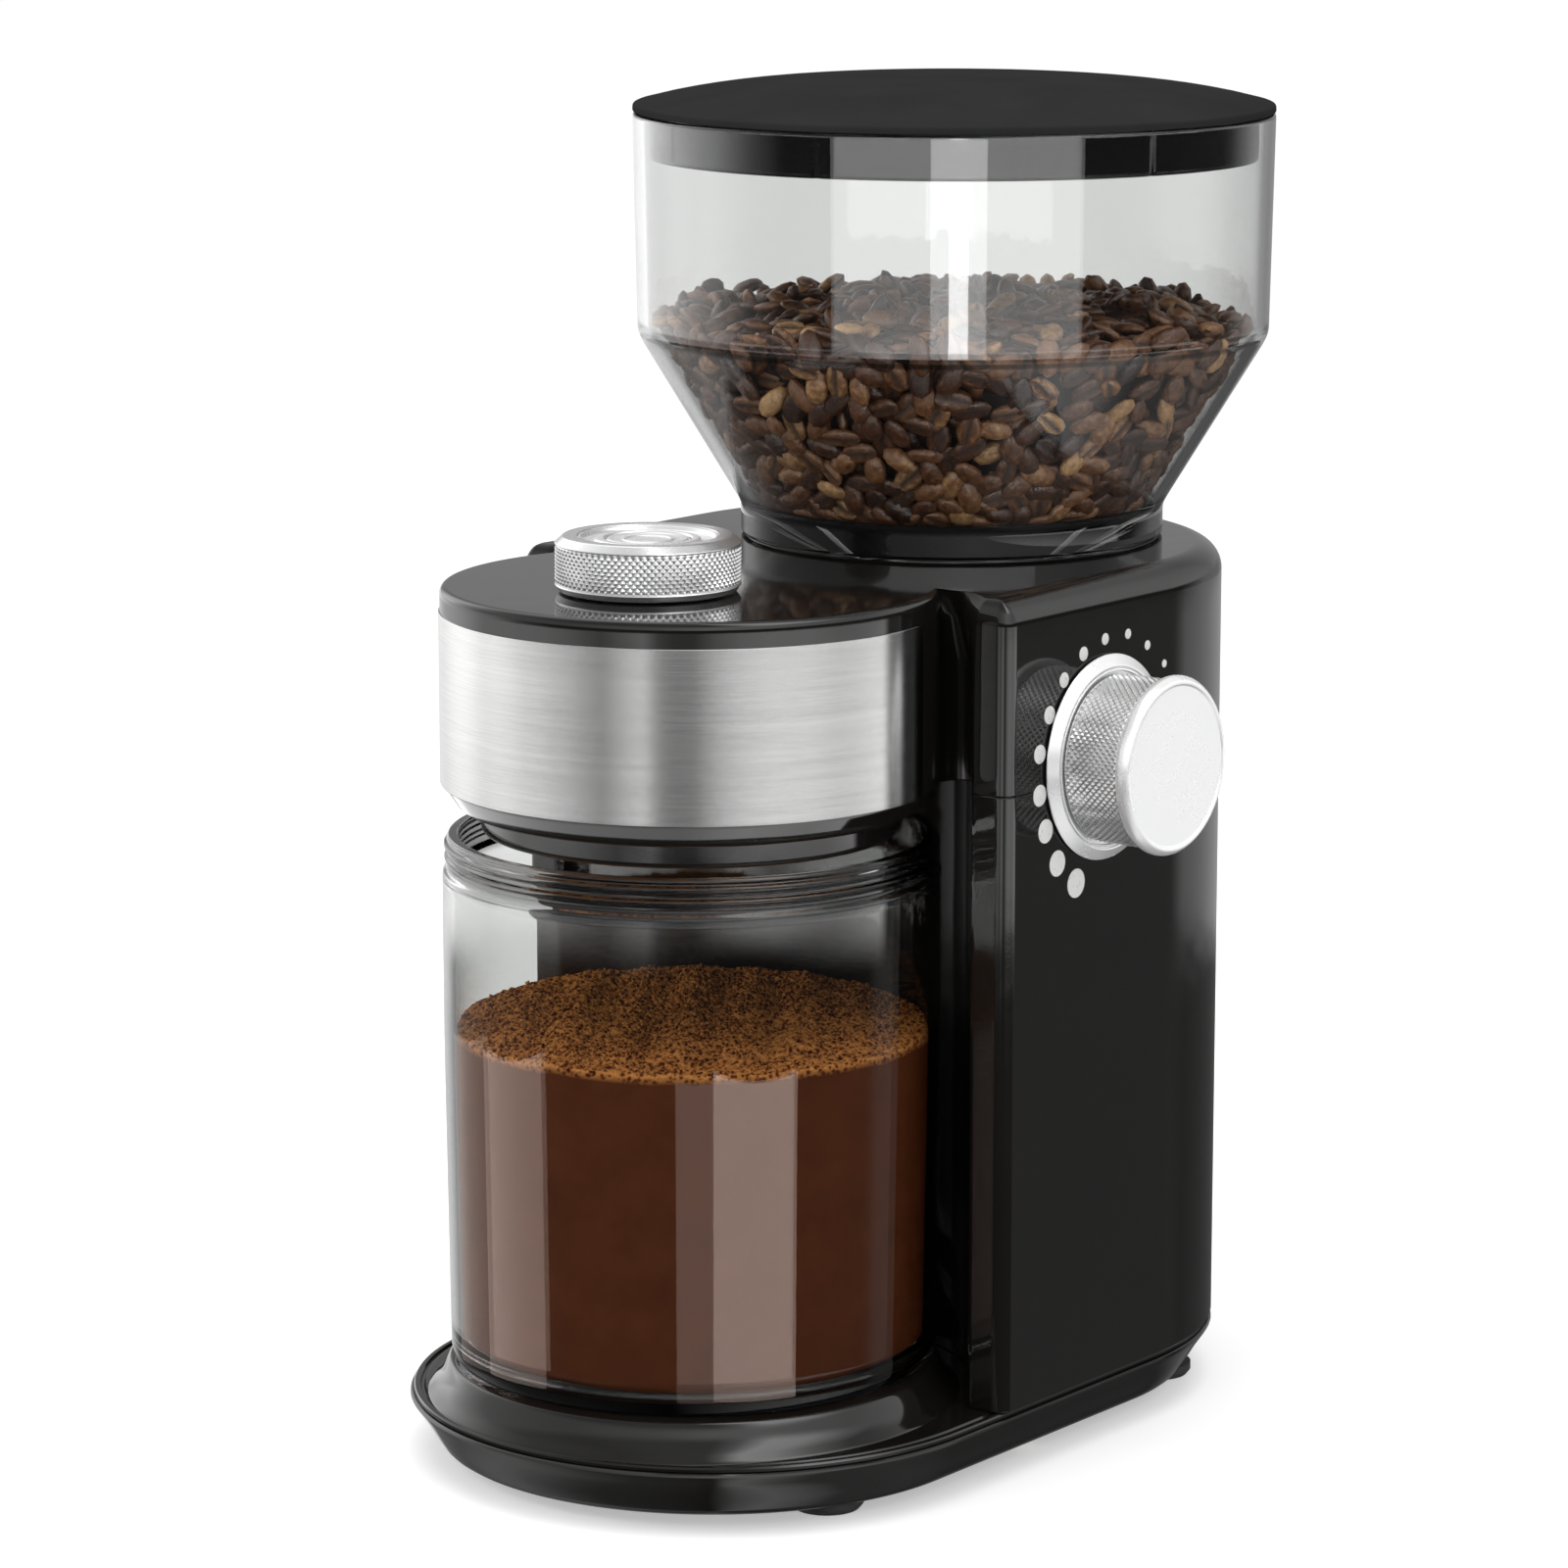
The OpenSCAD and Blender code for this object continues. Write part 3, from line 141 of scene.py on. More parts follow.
# A smooth mesh from millimetre points: doubles closer than merge, in metres, joined, and faces turned outwards
def meshPiece(name, points, faces, finish, merge=0.0):
    mesh = bpy.data.meshes.new(name)
    mesh.from_pydata((points + cupAxis * 1000) / 1000, [], faces)
    work = bmesh.new()
    work.from_mesh(mesh)
    if merge:
        bmesh.ops.remove_doubles(work, verts=work.verts, dist=merge)
    bmesh.ops.recalc_face_normals(work, faces=work.faces)
    work.to_mesh(mesh)
    work.free()
    mesh.polygons.foreach_set("use_smooth", np.ones(len(mesh.polygons), bool))
    mesh.materials.append(finish)
    return placed(name, mesh)


def pointValues(piece, name, values):
    made = piece.data.attributes.new(name, "FLOAT", "POINT")
    made.data.foreach_set("value", np.asarray(values, np.float32))


class Shape:
    def __init__(self):
        self.points, self.faces, self.count = [], [], 0

    def put(self, points, faces):
        points = np.asarray(points, float).reshape(-1, 3)
        self.points.append(points)
        self.faces.extend((np.asarray(faces) + self.count).tolist())
        self.count += len(points)
        return self

    def grid(self, points, rows=False, columns=True):
        return self.put(points, quads(*points.shape[:2], rows, columns))

    # A flat face at a height inside the first ring and outside the others
    def plate(self, rings, z):
        flat = np.vstack(rings)
        triangles = tessellate_polygon([[Vector((p[0], p[1], 0)) for p in ring] for ring in rings])
        return self.put(np.column_stack([flat, np.full(len(flat), z)]), triangles)

    # A slab's lower and upper face, and the upright walls of the holes through it
    def slab(self, lower, upper, holes, z0, z1):
        self.plate([lower, *holes], z0).plate([upper, *holes], z1)
        for ring in holes:
            self.grid(raised([ring, ring], [z0, z1]))
        return self

    def build(self, name, rides, slot, *nodes, finish=None, sharp=32, merge=4e-6):
        piece = meshPiece(name, np.vstack(self.points), self.faces, finish or finishes[slot], merge)
        piece.data.set_sharp_from_angle(angle=math.radians(sharp))
        piece.modifiers.new("evenShade", "WEIGHTED_NORMAL").keep_sharp = True
        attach(piece, rides)
        if nodes:
            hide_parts(*nodes)
        return piece


# A socket whose sums and products add Math nodes
class Signal:
    def __init__(self, tree, socket):
        self.tree, self.socket = tree, socket

    def __add__(self, other):
        return self.tree.maths("ADD", self, other)

    def __sub__(self, other):
        return self.tree.maths("SUBTRACT", self, other)

    def __rsub__(self, other):
        return self.tree.maths("SUBTRACT", other, self)

    def __mul__(self, other):
        return self.tree.maths("MULTIPLY", self, other)

    __radd__ = __add__
    __rmul__ = __mul__


# A node tree and short ways to fill it
class Nodes:
    def __init__(self, tree):
        self.tree = tree

    def set(self, node, inputs):
        for key, value in inputs.items():
            socket = node.inputs[key]
            if isinstance(value, Signal):
                self.tree.links.new(value.socket, socket)
            elif isinstance(value, tuple) and len(value) == 3 and socket.type == "RGBA":
                socket.default_value = (*value, 1)
            else:
                socket.default_value = value

    # Adds a node: its settings first, then the values or links of its sockets
    def node(self, kind, settings, inputs, output=0):
        made = self.tree.nodes.new("ShaderNode" + kind)
        for key, value in settings.items():
            if key == "stops":
                ramp = made.color_ramp
                while len(ramp.elements) < len(value):
                    ramp.elements.new(1)
                for element, (at, shade) in zip(ramp.elements, value):
                    element.position = at
                    element.color = (*shade, 1) if isinstance(shade, tuple) else (shade, shade, shade, 1)
            else:
                setattr(made, key, value)
        self.set(made, inputs)
        return Signal(self, made.outputs[output])

    def maths(self, operation, a, b=0.0):
        return self.node("Math", {"operation": operation}, {0: a, 1: b})

    def place(self, scale=(1, 1, 1)):
        return self.node("Mapping", {}, {"Vector": self.node("TexCoord", {}, {}, "Object"), "Scale": scale})

    def noise(self, size, detail=3, place=None, rough=0.5):
        inputs = {"Vector": place or self.place(), "Scale": 1 / size, "Detail": detail, "Roughness": rough}
        return self.node("TexNoise", {}, inputs, "Fac")

    def ramp(self, factor, *stops):
        return self.node("ValToRGB", {"stops": list(stops)}, {"Fac": factor}, "Color")

    def value(self, name):
        return self.node("Attribute", {"attribute_name": name}, {}, "Fac")

    # 0 below low and 1 above high, eased between
    def step(self, value, low, high):
        inputs = {"Value": value, "From Min": low, "From Max": high}
        return self.node("MapRange", {"interpolation_type": "SMOOTHSTEP"}, inputs)

    def blend(self, factor, a, b):
        return self.node("Mix", {"data_type": "RGBA"}, {0: factor, 6: a, 7: b}, 2)


class Finish(Nodes):
    def __init__(self, name, colour, roughness, metallic=0.0, **sockets):
        self.material = bpy.data.materials.new(name)
        self.material.use_nodes = True
        self.material.diffuse_color = (*colour, 1)
        super().__init__(self.material.node_tree)
        self.shader = self.tree.nodes["Principled BSDF"]
        self.paint(Base_Color=colour, Roughness=roughness, Metallic=metallic, **sockets)

    def paint(self, **inputs):
        self.set(self.shader, {key.replace("_", " "): value for key, value in inputs.items()})

    def bump(self, height, distance, strength=1.0):
        self.paint(Normal=self.node("Bump", {}, {"Height": height, "Distance": distance, "Strength": strength}))
        return self.material


def shaded(colour, k):
    return tuple(min(c * k, 1) for c in colour)


# Mirror-glossy moulded black: faint flow marks in its sheen and a slow ripple
def glossBlack(name, colour=(0.0075, 0.0068, 0.0062)):
    f = Finish(name, colour, 0.06)
    cloud = f.noise(0.035, 4)
    speck = f.noise(0.0006, 2)
    f.paint(Roughness=cloud * 0.06 + speck * 0.03 + 0.02,
            Base_Color=f.blend(cloud, shaded(colour, 0.8), shaded(colour, 1.25)))
    return f.bump(f.noise(0.02, 2) + speck * 0.02, 0.00006)


# Satin plastic with a fine spark-eroded grain
def satinPlastic(name, colour, roughness=0.42, grain=0.00045, depth=0.00003, level=0.5):
    f = Finish(name, colour, roughness, Specular_IOR_Level=level)
    fine, slow = f.noise(grain, 3), f.noise(0.02, 3)
    f.paint(Base_Color=f.blend(slow, shaded(colour, 0.82), shaded(colour, 1.2)),
            Roughness=fine * 0.12 + slow * 0.1 + (roughness - 0.11))
    return f.bump(fine, depth)


# Painted shade by how edge on the surface is seen: (facing, share of the clear colour)
paintedEdgeShade = [(0.0, 1.0), (0.4, 0.98), (0.5, 0.91), (0.6, 0.81), (0.7, 0.71), (0.85, 0.57), (1.0, 0.45)]


# Clear moulded plastic: painted shade makes it greyer where it is seen edge on, for the darker look of thick glass at
# its edges, and painted shade darkens it along (height, half width, shade) bands
def clearPlastic(name, clear, *lines):
    f = Finish(name, (clear, clear, clear), 0.0, Transmission_Weight=1.0, IOR=1.46, Specular_IOR_Level=0.15)
    facing = f.node("LayerWeight", {}, {"Blend": 0.5}, "Facing")
    tint = f.ramp(facing, *[(at, (clear * k * 0.99, clear * k, clear * k * 0.992)) for at, k in paintedEdgeShade])
    height = f.node("SeparateXYZ", {}, {0: f.place()}, "Z")
    # Each band paints shade into the colour round its height
    for z, half, shade in lines:
        inside = f.step(f.maths("ABSOLUTE", height - z), half * 1.3, half * 0.5)
        tint = f.blend(inside, tint, (shade, shade * 1.02, shade))
    f.paint(Base_Color=tint, Roughness=f.noise(0.03, 3) * 0.02)
    return f.bump(f.noise(0.03, 1), 0.00003)


# Metal drawn or turned: a cloudy tone, fine scratches and a spread of sheen
def bareMetal(name, colour, roughness, scratch=(1, 1, 1), fine=0.0004, depth=0.000008, swing=0.12, metallic=1.0):
    f = Finish(name, colour, roughness, metallic)
    lines = f.noise(fine, 4, f.place(scratch), 0.6)
    slow = f.noise(0.012, 3)
    f.paint(Base_Color=f.blend(lines * 0.6 + slow * 0.4, shaded(colour, 1 - swing * 1.3), colour),
            Roughness=lines * swing + slow * 0.06 + (roughness - swing / 2))
    return f.bump(lines, depth)


# Brushed round the head: level streaks, and a sheen drawn out across them
def brushedBand():
    f = Finish("brushedBand", (0.66, 0.66, 0.655), 0.2, 1.0, Anisotropic=0.6, Anisotropic_Rotation=0.25)
    streak = f.noise(0.00022, 6, f.place((0.012, 0.012, 1)), 0.75)
    broad = f.noise(0.0012, 3, f.place((0.02, 0.02, 1)))
    f.paint(Base_Color=f.ramp(streak, (0.3, (0.58, 0.578, 0.574)), (0.55, (0.69, 0.688, 0.684)),
                              (0.75, (0.76, 0.757, 0.752))),
            Roughness=streak * 0.1 + broad * 0.06 + 0.11)
    return f.bump(streak, 0.00001, 0.4)


# Laminations: thin dark lines every half millimetre up the stack
def laminations():
    f = Finish("laminations", (0.32, 0.32, 0.33), 0.45, 0.85)
    lines = f.node("TexWave", {"bands_direction": "Z"}, {"Vector": f.place(), "Scale": 620, "Distortion": 0.4})
    f.paint(Base_Color=f.ramp(lines, (0.0, (0.1, 0.1, 0.105)), (0.5, (0.42, 0.42, 0.43))))
    return f.bump(lines, 0.00008)


# Enamelled wire wound in close turns
def winding():
    f = Finish("winding", (0.45, 0.17, 0.06), 0.3, 0.7)
    turns = f.node("TexWave", {"bands_direction": "DIAGONAL"},
                   {"Vector": f.place(), "Scale": 420, "Distortion": 1.2, "Detail": 1.0})
    f.paint(Base_Color=f.ramp(turns, (0.0, (0.14, 0.045, 0.015)), (0.6, (0.52, 0.2, 0.07))),
            Roughness=0.5 - turns * 0.25)
    return f.bump(turns, 0.00012)


# A green circuit board with lighter tracks
def boardGreen():
    f = Finish("boardGreen", (0.02, 0.14, 0.05), 0.35)
    tracks = f.node("TexBrick", {}, {"Vector": f.place(), "Scale": 90, "Mortar Size": 0.06,
                                     "Color1": (0.015, 0.11, 0.04), "Color2": (0.02, 0.13, 0.05),
                                     "Mortar": (0.05, 0.26, 0.1)}, "Color")
    f.paint(Base_Color=tracks, Roughness=f.noise(0.004) * 0.2 + 0.25)
    return f.bump(f.noise(0.0008), 0.00002)


# Sintered bronze and moulded carbon: an even speckle of pores
def porous(name, colour, roughness, metallic, pore=0.0004):
    f = Finish(name, colour, roughness, metallic)
    pores = f.node("TexVoronoi", {}, {"Vector": f.place(), "Scale": 1 / pore}, "Distance")
    f.paint(Base_Color=f.ramp(pores, (0.05, shaded(colour, 0.5)), (0.35, colour)),
            Roughness=roughness + 0.12 - pores * 0.2)
    return f.bump(pores, 0.00004)


# Roasted bean: tone from one bean to the next, oily patches, and painted shade along the crease line
def roastedBean():
    f = Finish("roastedBean", (0.1, 0.035, 0.012), 0.4, Specular_IOR_Level=0.8)
    tone = f.value("tone")
    mottle = f.noise(0.0012, 4)
    shade = f.ramp(tone * 0.55 + mottle * 0.5, (0.25, (0.02, 0.006, 0.0022)), (0.46, (0.09, 0.031, 0.011)),
                   (0.64, (0.24, 0.105, 0.04)), (0.85, (0.6, 0.36, 0.16)))
    crease = f.value("crease")
    # The crease is painted dark as shade, and made rougher
    f.paint(Base_Color=f.blend(crease, shade, (0.03, 0.011, 0.004)),
            Roughness=mottle * 0.25 + 0.2 + crease * 0.3)
    return f.bump(f.noise(0.0005, 3) + mottle * 0.6, 0.0002)


# Fresh grounds: coarse crumbs on top that turn to a smooth packed face down the side
def groundCoffee():
    f = Finish("groundCoffee", (0.13, 0.05, 0.02), 0.8, Specular_IOR_Level=0.0)
    crumb = f.node("TexVoronoi", {}, {"Vector": f.place(), "Scale": 1100}, "Distance")
    speckle = f.noise(0.0024, 5, rough=0.75)
    slow = f.noise(0.009, 2)
    top = f.value("loose")
    side = f.ramp(slow * 0.6 + speckle * 0.4, (0.3, (0.056, 0.0145, 0.0045)), (0.7, (0.08, 0.0225, 0.0075)))
    loose = f.ramp(speckle * 0.75 + crumb * 0.45, (0.36, (0.02, 0.004, 0.001)), (0.5, (0.15, 0.038, 0.008)),
                   (0.64, (0.55, 0.22, 0.06)))
    f.paint(Base_Color=f.blend(top, side, loose), Roughness=0.85 - top * 0.1)
    return f.bump((crumb + speckle) * top, 0.0009)


# Printed marks: thin white ink, a little worn
def whitePrint():
    f = Finish("whitePrint", (0.8, 0.8, 0.79), 0.5)
    wear = f.noise(0.0007, 3)
    f.paint(Base_Color=f.ramp(wear, (0.25, (0.5, 0.5, 0.5)), (0.42, (0.84, 0.84, 0.83))),
            Roughness=wear * 0.3 + 0.35)
    return f.bump(wear, 0.00001)


finishes = {
    "gloss_black": glossBlack("glossBlack"),
    "dark_plastic": satinPlastic("darkPlastic", (0.028, 0.028, 0.03)),
    "lid_skirt": glossBlack("skirtGloss", (0.004, 0.004, 0.004)),
    "lid_plastic": satinPlastic("lidPlastic", (0.026, 0.026, 0.0265), 0.42, 0.0006, level=0.0),
    # The clear plastics' bands are painted shade: at the hopper's bowl corner and its neck, over the cup's upper wall
    # and at its rim beads
    "clear_plastic": clearPlastic("clearPlastic", 0.86, (0.2130, 0.0005, 0.3), (0.1728, 0.0068, 0.06)),
    "cup_plastic": clearPlastic("cupPlastic", 0.87, (0.1040, 0.0110, 0.77), (0.1208, 0.0047, 0.3)),
    "brushed_band": brushedBand(),
    "knob_metal": bareMetal("knobMetal", (0.86, 0.86, 0.865), 0.18, fine=0.0005, depth=0.000002, metallic=0.8),
    "knob_bright": bareMetal("knobBright", (0.9, 0.9, 0.905), 0.24, (1, 1, 1), 0.0007, 0.0000002, 0.02, 0.55),
    "burr_steel": bareMetal("burrSteel", (0.5, 0.5, 0.5), 0.34, (1, 1, 0.2), 0.0005, 0.00002),
    "plain_steel": bareMetal("plainSteel", (0.6, 0.6, 0.6), 0.25, (1, 1, 8), 0.0006),
    "screw_zinc": bareMetal("screwZinc", (0.62, 0.61, 0.56), 0.3, fine=0.0009),
    "lamination": laminations(),
    "winding": winding(),
    "bracket_metal": bareMetal("bracketMetal", (0.52, 0.52, 0.53), 0.45, fine=0.001, depth=0.00004),
    "bearing_bronze": porous("bearingBronze", (0.5, 0.31, 0.13), 0.4, 0.9),
    "gear_plastic": satinPlastic("gearPlastic", (0.62, 0.58, 0.48), 0.4, 0.0006),
    "carbon": porous("carbonBrush", (0.03, 0.03, 0.032), 0.55, 0.2, 0.0006),
    "board_green": boardGreen(),
    "part_blue": satinPlastic("partBlue", (0.03, 0.06, 0.16), 0.35),
    "rubber_black": satinPlastic("rubberBlack", (0.018, 0.018, 0.019), 0.6, 0.0008, 0.00006),
}
slotOf = {part["node"]: part["material_slot"] for part in frame["record"]["subparts"]}
for name, node in frame["nodes"].items():
    node.data.materials.clear()
    node.data.materials.append(finishes[slotOf.get(name, "dark_plastic")])
print("finishes:", len(finishes))

# Rows are (inset from the plan, height), but the plinth's are (radius, height, rounding)
base = {
    "skirt": [(6.9, 2.5), (6.2, 2.62), (5.6, 3.1), (5.0, 3.9), (3.6, 6.2), (2.3, 8.4), (1.2, 10.0), (0.35, 11.2),
              (0.0, 11.75), (0.1, 12.15), (0.4, 12.35)],
    "inside": [(1.6, 12.35), (3.2, 10.0), (6.2, 6.2), (9.0, 4.5)],
    "edge": [(0.95, 12.35), (0.75, 12.6), (0.72, 13.1), (0.95, 13.45), (1.35, 13.6), (1.9, 13.52), (2.2, 13.2),
             (2.25, 12.95), (2.7, 12.9), (2.85, 13.1), (3.05, 13.45), (3.6, 13.6)],
    "plinth": [(0, 13.0), (52.1, 13.0), (52.1, 13.62, 0.6), (49.4, 16.2, 3.2), (47.9, 19.6, 1.2), (47.3, 20.3, 0.5),
               (44.0, 20.3, 0.4), (43.4, 20.0, 0.3), (0, 20.0)],
    "slots": 16, "slotIn": 10.4, "slotOut": 21.9, "slotHalf": 1.1, "fan": 23,
    "screws": [(49, 42), (34.6, 108.6)], "screwHole": 3.15,
}


# The base's plan at each row: half circles of one radius at the front and the back, drawn in by the inset
def planRows(rows):
    plans = []
    for inset, _ in rows:
        r = body["halfWidth"] - inset
        plans.append(np.vstack([arc(0, body["frontY"], r, 180, 360, 90), arc(0, body["rearY"], r, 0, 180, 90)]))
    return plans, [z for _, z in rows]


# A slot with rounded ends, pointing out from the fan's centre at an angle
def slotRing(angle):
    half = base["slotHalf"]
    tip = np.vstack([arc(base["slotOut"] - half, 0, half, -90, 90, 6), arc(base["slotIn"] + half, 0, half, 90, 270, 6)])
    c, s = math.cos(angle), math.sin(angle)
    return tip @ np.array([[c, s], [-s, c]]) + hopperAxis


def bottomCover():
    plans, heights = planRows(base["skirt"] + base["inside"])
    holes = [slotRing(k * math.tau / base["slots"]) for k in range(base["slots"])]
    holes += [arc(sx * x, y, base["screwHole"], 0, 345, 23) for sx in (-1, 1) for x, y in base["screws"]]
    shape = Shape().grid(raised(plans, heights)).slab(plans[0], plans[-1], holes, level["cover"], level["coverTop"])
    shape.build("bottomCover", "chassis", "gloss_black", "bottom_cover")


def baseTray():
    plans, heights = planRows(base["edge"])
    fan = arc(*hopperAxis, base["fan"], 0, 357, 119)
    shape = Shape().grid(raised(plans, heights)).slab(plans[0], plans[-1], [fan], level["lip"], level["tray"])
    shape.build("baseTray", "chassis", "gloss_black", "base_tray")
    Shape().grid(turned(profile(base["plinth"]), count=200)).build("cupPlinth", "chassis", "gloss_black")


# The right cheek, from its inner corner round to the middle of the back
def cheekPath(inset, sideInset):
    r = body["recessR"] + inset
    y = body["cheekY"] + inset
    inner = np.array([math.sqrt(r * r - y * y), y])
    x = max(body["halfWidth"] - sideInset, inner[0] + 0.8)
    c = max(body["cheekRound"] - sideInset, 0.5)
    reach = min(r * math.radians(body["turn"]), (x - c - inner[0]) * 0.6)
    a = math.asin(y / r) + math.radians(body["turn"])
    return np.vstack([bend([r * math.cos(a), r * math.sin(a)], inner, inner + [reach, 0]),
                      bend([x - c, y], [x, y], [x, y + c]), arc(0, body["rearY"], x, 0, 90, 60)])


def mirrored(points):
    return points[::-1] * [-1, 1]


def lowerPlan(inset):
    right = cheekPath(inset, inset)
    r = body["recessR"] + inset
    a = math.degrees(math.asin((body["cheekY"] + inset) / r)) + body["turn"]
    return np.vstack([right, mirrored(right[:-1]), arc(0, 0, r, 180 - a, a, 90)[1:-1]])


# The head, a groove on each side and the body; web takes the groove's top into a sloping web
def upperPlan(inset, headInset, sideInset, web=0.0):
    a = body["grooveEnd"]
    turn = math.radians(a)
    middle, half = (body["headR"] + body["recessR"]) / 2, (body["recessR"] - body["headR"]) / 2
    front = arc(0, 0, body["headR"] - headInset, 182 - a, 358 + a, 180)
    groove = arc(middle * math.cos(turn), middle * math.sin(turn), half + inset, a + 180, a, 24)
    cheek = cheekPath(inset, sideInset)
    corner = body["webCorner"]
    grooved = np.vstack([groove, cheek[:11]])
    webbed = np.vstack([stepsTo(front[-1], corner, 25), stepsTo(corner, cheek[10], 11)])
    right = np.vstack([grooved * (1 - web) + webbed * web, cheek[11:]])
    return np.vstack([front, right, mirrored(right[:-1])])


def lowerShell():
    low, high, seam = level["tray"], level["head"], body["seam"]
    insets = (seam, seam * 0.3, 0, 0, seam * 0.3, seam, body["wall"], body["wall"])
    heights = [low, low + seam * 0.5, low + seam * 1.4, high - seam * 1.4, high - seam * 0.5, high, high, low]
    shape = Shape().grid(raised([lowerPlan(i) for i in insets], heights), rows=True)
    shape.build("lowerShell", "chassis", "gloss_black", "lower_housing")


# A quarter round's inset once it has risen by s of its radius
def quarter(s):
    return 1 - math.sqrt(max(1 - s * s, 0))


def upperShell():
    low, deck, seam, rounding = level["head"], level["deck"], body["seam"], body["topRound"]
    plans = [upperPlan(i, i, i) for i in (seam, seam * 0.3, 0, 0)]
    heights = [low, low + seam * 0.5, low + seam * 1.4, deck - body["webDrop"]]
    for s in np.sin(np.radians(np.linspace(0, 90, 13))):
        z = deck - rounding + rounding * s
        edge = max((z - deck) / body["headRound"] + 1, 0)
        inset = rounding * quarter(s)
        plans.append(upperPlan(inset * 0.6, body["headRound"] * quarter(edge), inset, 1 - (deck - z) / body["webDrop"]))
        heights.append(z)
    deckHoles = [arc(*hopperAxis, body["hole"], 0, 357.5, 143), arc(0, body["knobY"], body["knobHole"], 0, 350, 35)]
    floorHoles = [arc(0, 0, body["drop"], 0, 350, 35), arc(*hopperAxis, body["shaft"], 0, 345, 23)]
    inner = upperPlan(*[body["wall"]] * 3)
    shape = Shape().grid(raised(plans, heights)).grid(raised([inner, inner], [level["floor"], level["ceiling"]]))
    shape.slab(inner, plans[-1], deckHoles, level["ceiling"], deck)
    shape.slab(plans[0], inner, floorHoles, low, level["floor"])
    shape.build("upperShell", "chassis", "gloss_black", "upper_housing")


def headRing():
    ring = [(14.65, 134.3), (47.6, 134.3, 0.2), (47.5, 133.9, 0.3), (44.9, 130.0, 0.5), (44.4, 129.9, 0.3),
            (41.0, 129.9, 0.5), (40.5, 129.4, 0.4), (40.5, 125.4, 0.5), (39.8, 124.8, 0.3), (38.3, 124.8, 0.3),
            (38, 125.1, 0.2), (38, 130.4), (14.65, 130.4)]
    shape = Shape().grid(turned(profile(ring), count=200), rows=True)
    return shape.build("headRing", "chassis", "gloss_black", "head_base")


band = {
    "end": 13, "low": 134.3, "high": 167.4, "corner": 2.2, "proud": 0.25,
    "edge": [(0.6, 0), (0.12, 0), (0.03, 0.04), (0, 0.14)],  # (depth, trim)
}


# The band: a strip round the head's front whose corners are rounded where its ends run out
def steelBand():
    corner, r = band["corner"], body["headR"] + band["proud"]
    span = math.radians(180 + 2 * band["end"])
    ease = corner / r
    close = ease * (1 - np.cos(np.linspace(0, np.pi / 2, 9)))
    a = np.concatenate([close, np.linspace(ease, span - ease, 240)[1:-1], span - close[::-1]])
    fromEnd = np.minimum(a, span - a) * r
    cut = corner - np.sqrt(np.maximum(corner ** 2 - np.maximum(corner - fromEnd, 0) ** 2, 0))
    turn = math.radians(180 - band["end"]) + a
    rows = [polar(r - depth, turn, band["low"] + cut + trim) for depth, trim in band["edge"]]
    rows += [polar(r - depth, turn, band["high"] - cut - trim) for depth, trim in band["edge"][::-1]]
    loop = np.stack(rows)
    shape = Shape().grid(loop, rows=True, columns=False)
    for end in (loop[:, 0], loop[:, -1]):
        shape.put(end, [list(range(len(end)))])
    shape.build("steelBand", "chassis", "brushed_band", "steel_band")


bottomCover()
baseTray()
lowerShell()
upperShell()
underRing = headRing()
steelBand()
print("base and housings done")


# A turned grip with a diamond knurl: r = R - depth (1 - lower of two triangle waves that cross)
def knurled(radius, low, high, count, pitch, depth, centre):
    rows, columns = int(round((high - low) / pitch * 6)), count * 6
    z = np.linspace(low, high, rows + 1)[:, None]
    a = np.linspace(0, 2 * np.pi, columns, endpoint=False)[None]
    u, v = a * count / (2 * np.pi) + (z - low) / pitch, a * count / (2 * np.pi) - (z - low) / pitch
    wave = np.minimum(np.abs(u % 1 * 2 - 1), np.abs(v % 1 * 2 - 1))
    ends = np.clip(np.minimum(z - low, high - z) / 0.35, 0, 1)
    return polar(radius - depth * (1 - wave * ends), a, z, centre)


knob = {"at": (0, -13), "r": 17.8, "low": 172.6, "top": 183.1, "knurl": 78, "pitch": 1.43, "depth": 0.42, "button": 8}


